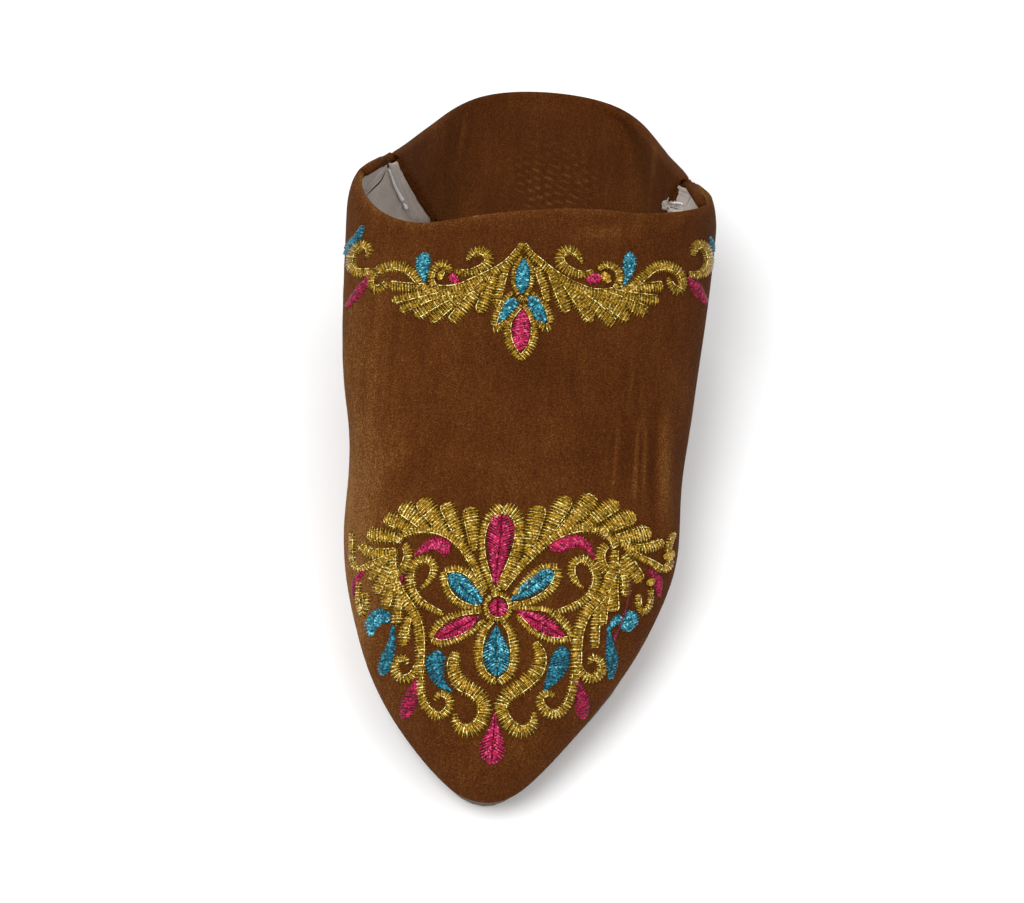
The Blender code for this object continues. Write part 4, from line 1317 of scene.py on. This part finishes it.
def make_tuft(skin, materials):
    """The frayed threads at the right seam."""
    mesh = ThreadMesh()
    for k in range(TUFT_STRANDS):
        turn = random.uniform(0, 2 * math.pi)
        reach = random.random() ** 0.6
        px = TUFT_CENTRE_PX[0] + TUFT_REACH_PX[0] * reach * math.cos(turn)
        py = TUFT_CENTRE_PX[1] + TUFT_REACH_PX[1] * reach * math.sin(turn)
        start, normal = skin.under_or_near(px, py, CAMERA_DISTANCE)
        way = Vector((random.uniform(-1, 0.4), random.uniform(-1, 1), random.uniform(-0.3, 0.3)))
        way = (way - normal * way.dot(normal)).normalized()
        rise = random.uniform(0.3, 0.9) * MM
        line = [start + way * (step * TUFT_STEP) + normal * (rise * math.sin(math.pi * step / 5) + 0.1 * MM)
                for step in range(6)]
        mesh.strand(line, [normal] * 6, [TUFT_RADIUS] * 6, random.random())
    mesh.piece("right_frayed_threads", "lining_cloth", materials["lining_cloth"])


# Loose ends on the embroidery, laid as the cords above
LOOSE_ENDS = (
    Cord("loose_red_end", "red_thread", (0.16, 0.17, 0.17, 0.16), 1.0, 1.0,
         ((408, 577), (404.5, 595), (399, 617), (391.5, 634))),
    Cord("loose_red_stub", "red_thread", (0.30, 0.42, 0.36), 0.9, 0.7,
         ((392.5, 631), (391, 636), (390.5, 640.5))),
    Cord("loose_gold_end_1", "gold_thread", (0.5, 1.1, 0.9), 0.35, 0.5, ((440, 556), (445, 554), (450, 552))),
    Cord("loose_gold_end_2", "gold_thread", (0.4, 1.0, 0.6), 0.35, 0.5, ((423, 582), (427, 581), (431, 579))),
    Cord("loose_gold_end_3", "gold_thread", (0.5, 1.3, 0.7), 0.35, 0.5,
         ((380.5, 271.5), (383.5, 276.5), (387, 282))),
    Cord("loose_gold_end_4", "gold_thread", (0.3, 0.7, 0.4), 0.35, 0.5, ((217, 272), (219, 276), (220, 279))),
    Cord("loose_gold_end_5", "gold_thread", (0.2, 0.5, 0.3), 0.35, 0.6, ((291, 594), (293.5, 591), (296, 588))),
)


def make_loose_ends(skin, looks):
    for cord in LOOSE_ENDS:
        lay_cord(cord, skin, looks)


def make_trim(upper, velvet, lining):
    # A near-black cloth for the painted shadow under the lining's hem
    dark, tree, shader = new_material("hem_shadow")
    grain = noise_at(tree, own_coordinates(tree), 900, 2)
    tree.links.new(ramp(tree, grain, ((0.3, (0.02, 0.014, 0.01)), (0.7, (0.05, 0.036, 0.026)))),
                   shader.inputs["Base Color"])
    shader.inputs["Roughness"].default_value = 0.95
    materials = {
        "lining_cloth": lining,
        "hem_shadow": dark,
        "white_thread": plain_thread_material("white_thread", (0.96, 0.95, 0.97), 0.75),
    }
    make_side_seams(Skin(*upper), velvet)
    cloths = [make_gusset(gusset, Skin(*upper), materials, velvet) for gusset in GUSSETS]
    skin = Skin(*upper, *cloths)
    for cord in CORDS:
        lay_cord(cord, skin, materials)
    make_tuft(skin, materials)


# Room

def make_stage():
    """A pale floor that the slipper stands on."""
    floor_data = bpy.data.meshes.new("floor")
    reach = 3.0
    floor_data.from_pydata([(-reach, -reach, 0), (reach, -reach, 0), (reach, reach, 0), (-reach, reach, 0)], [],
                           [(0, 1, 2, 3)])
    floor = bpy.data.objects.new("floor", floor_data)
    bpy.context.scene.collection.objects.link(floor)
    material, tree, shader = new_material("floor")
    place = own_coordinates(tree)
    tone = noise_at(tree, place, 40, 2)
    tree.links.new(ramp(tree, tone, ((0.3, (0.96, 0.96, 0.96)), (0.7, (0.98, 0.98, 0.98)))),
                   shader.inputs["Base Color"])
    shader.inputs["Roughness"].default_value = 0.8
    floor_data.materials.append(material)


Lamp = namedtuple("Lamp", "name place size power")
LAMPS = (
    Lamp("key", (-0.45, -0.40, 1.10), 0.80, 9.0),
    Lamp("fill", (0.70, -0.60, 0.80), 0.90, 2.5),
    Lamp("back", (0.10, 0.90, 0.90), 0.80, 3.0),
)
WORLD_LIGHT = 0.66


def make_lights():
    for lamp in LAMPS:
        data = bpy.data.lights.new(lamp.name, "AREA")
        data.shape = "DISK"
        data.size = lamp.size
        data.energy = lamp.power
        light = bpy.data.objects.new(lamp.name, data)
        light.location = lamp.place
        light.rotation_euler = (-Vector(lamp.place)).to_track_quat("-Z", "Y").to_euler()
        bpy.context.scene.collection.objects.link(light)
    world = bpy.data.worlds.new("world")
    world.use_nodes = True
    background = world.node_tree.nodes["Background"]
    background.inputs["Color"].default_value = (1.0, 1.0, 1.0, 1.0)
    background.inputs["Strength"].default_value = WORLD_LIGHT
    bpy.context.scene.world = world
    bpy.context.scene.view_settings.view_transform = "Standard"


def dress_soles():
    """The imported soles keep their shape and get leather."""
    looks = {
        "outsole": leather_material("sole_leather", (0.045, 0.026, 0.011), (0.150, 0.094, 0.046), 0.55, 700),
        "insole": leather_material("sock_leather", (0.330, 0.290, 0.250), (0.520, 0.470, 0.420), 0.65, 900),
    }
    for node, look in looks.items():
        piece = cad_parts[node]
        piece.data.materials.clear()
        piece.data.materials.append(look)


def main():
    make_camera()
    velvet = velvet_material()
    vamp = make_vamp(velvet)
    quarter = make_quarter(velvet)
    dress_soles()
    make_embroidery(Skin(vamp))
    make_trim((vamp, quarter), velvet, lining_material())
    make_stage()
    make_lights()


main()
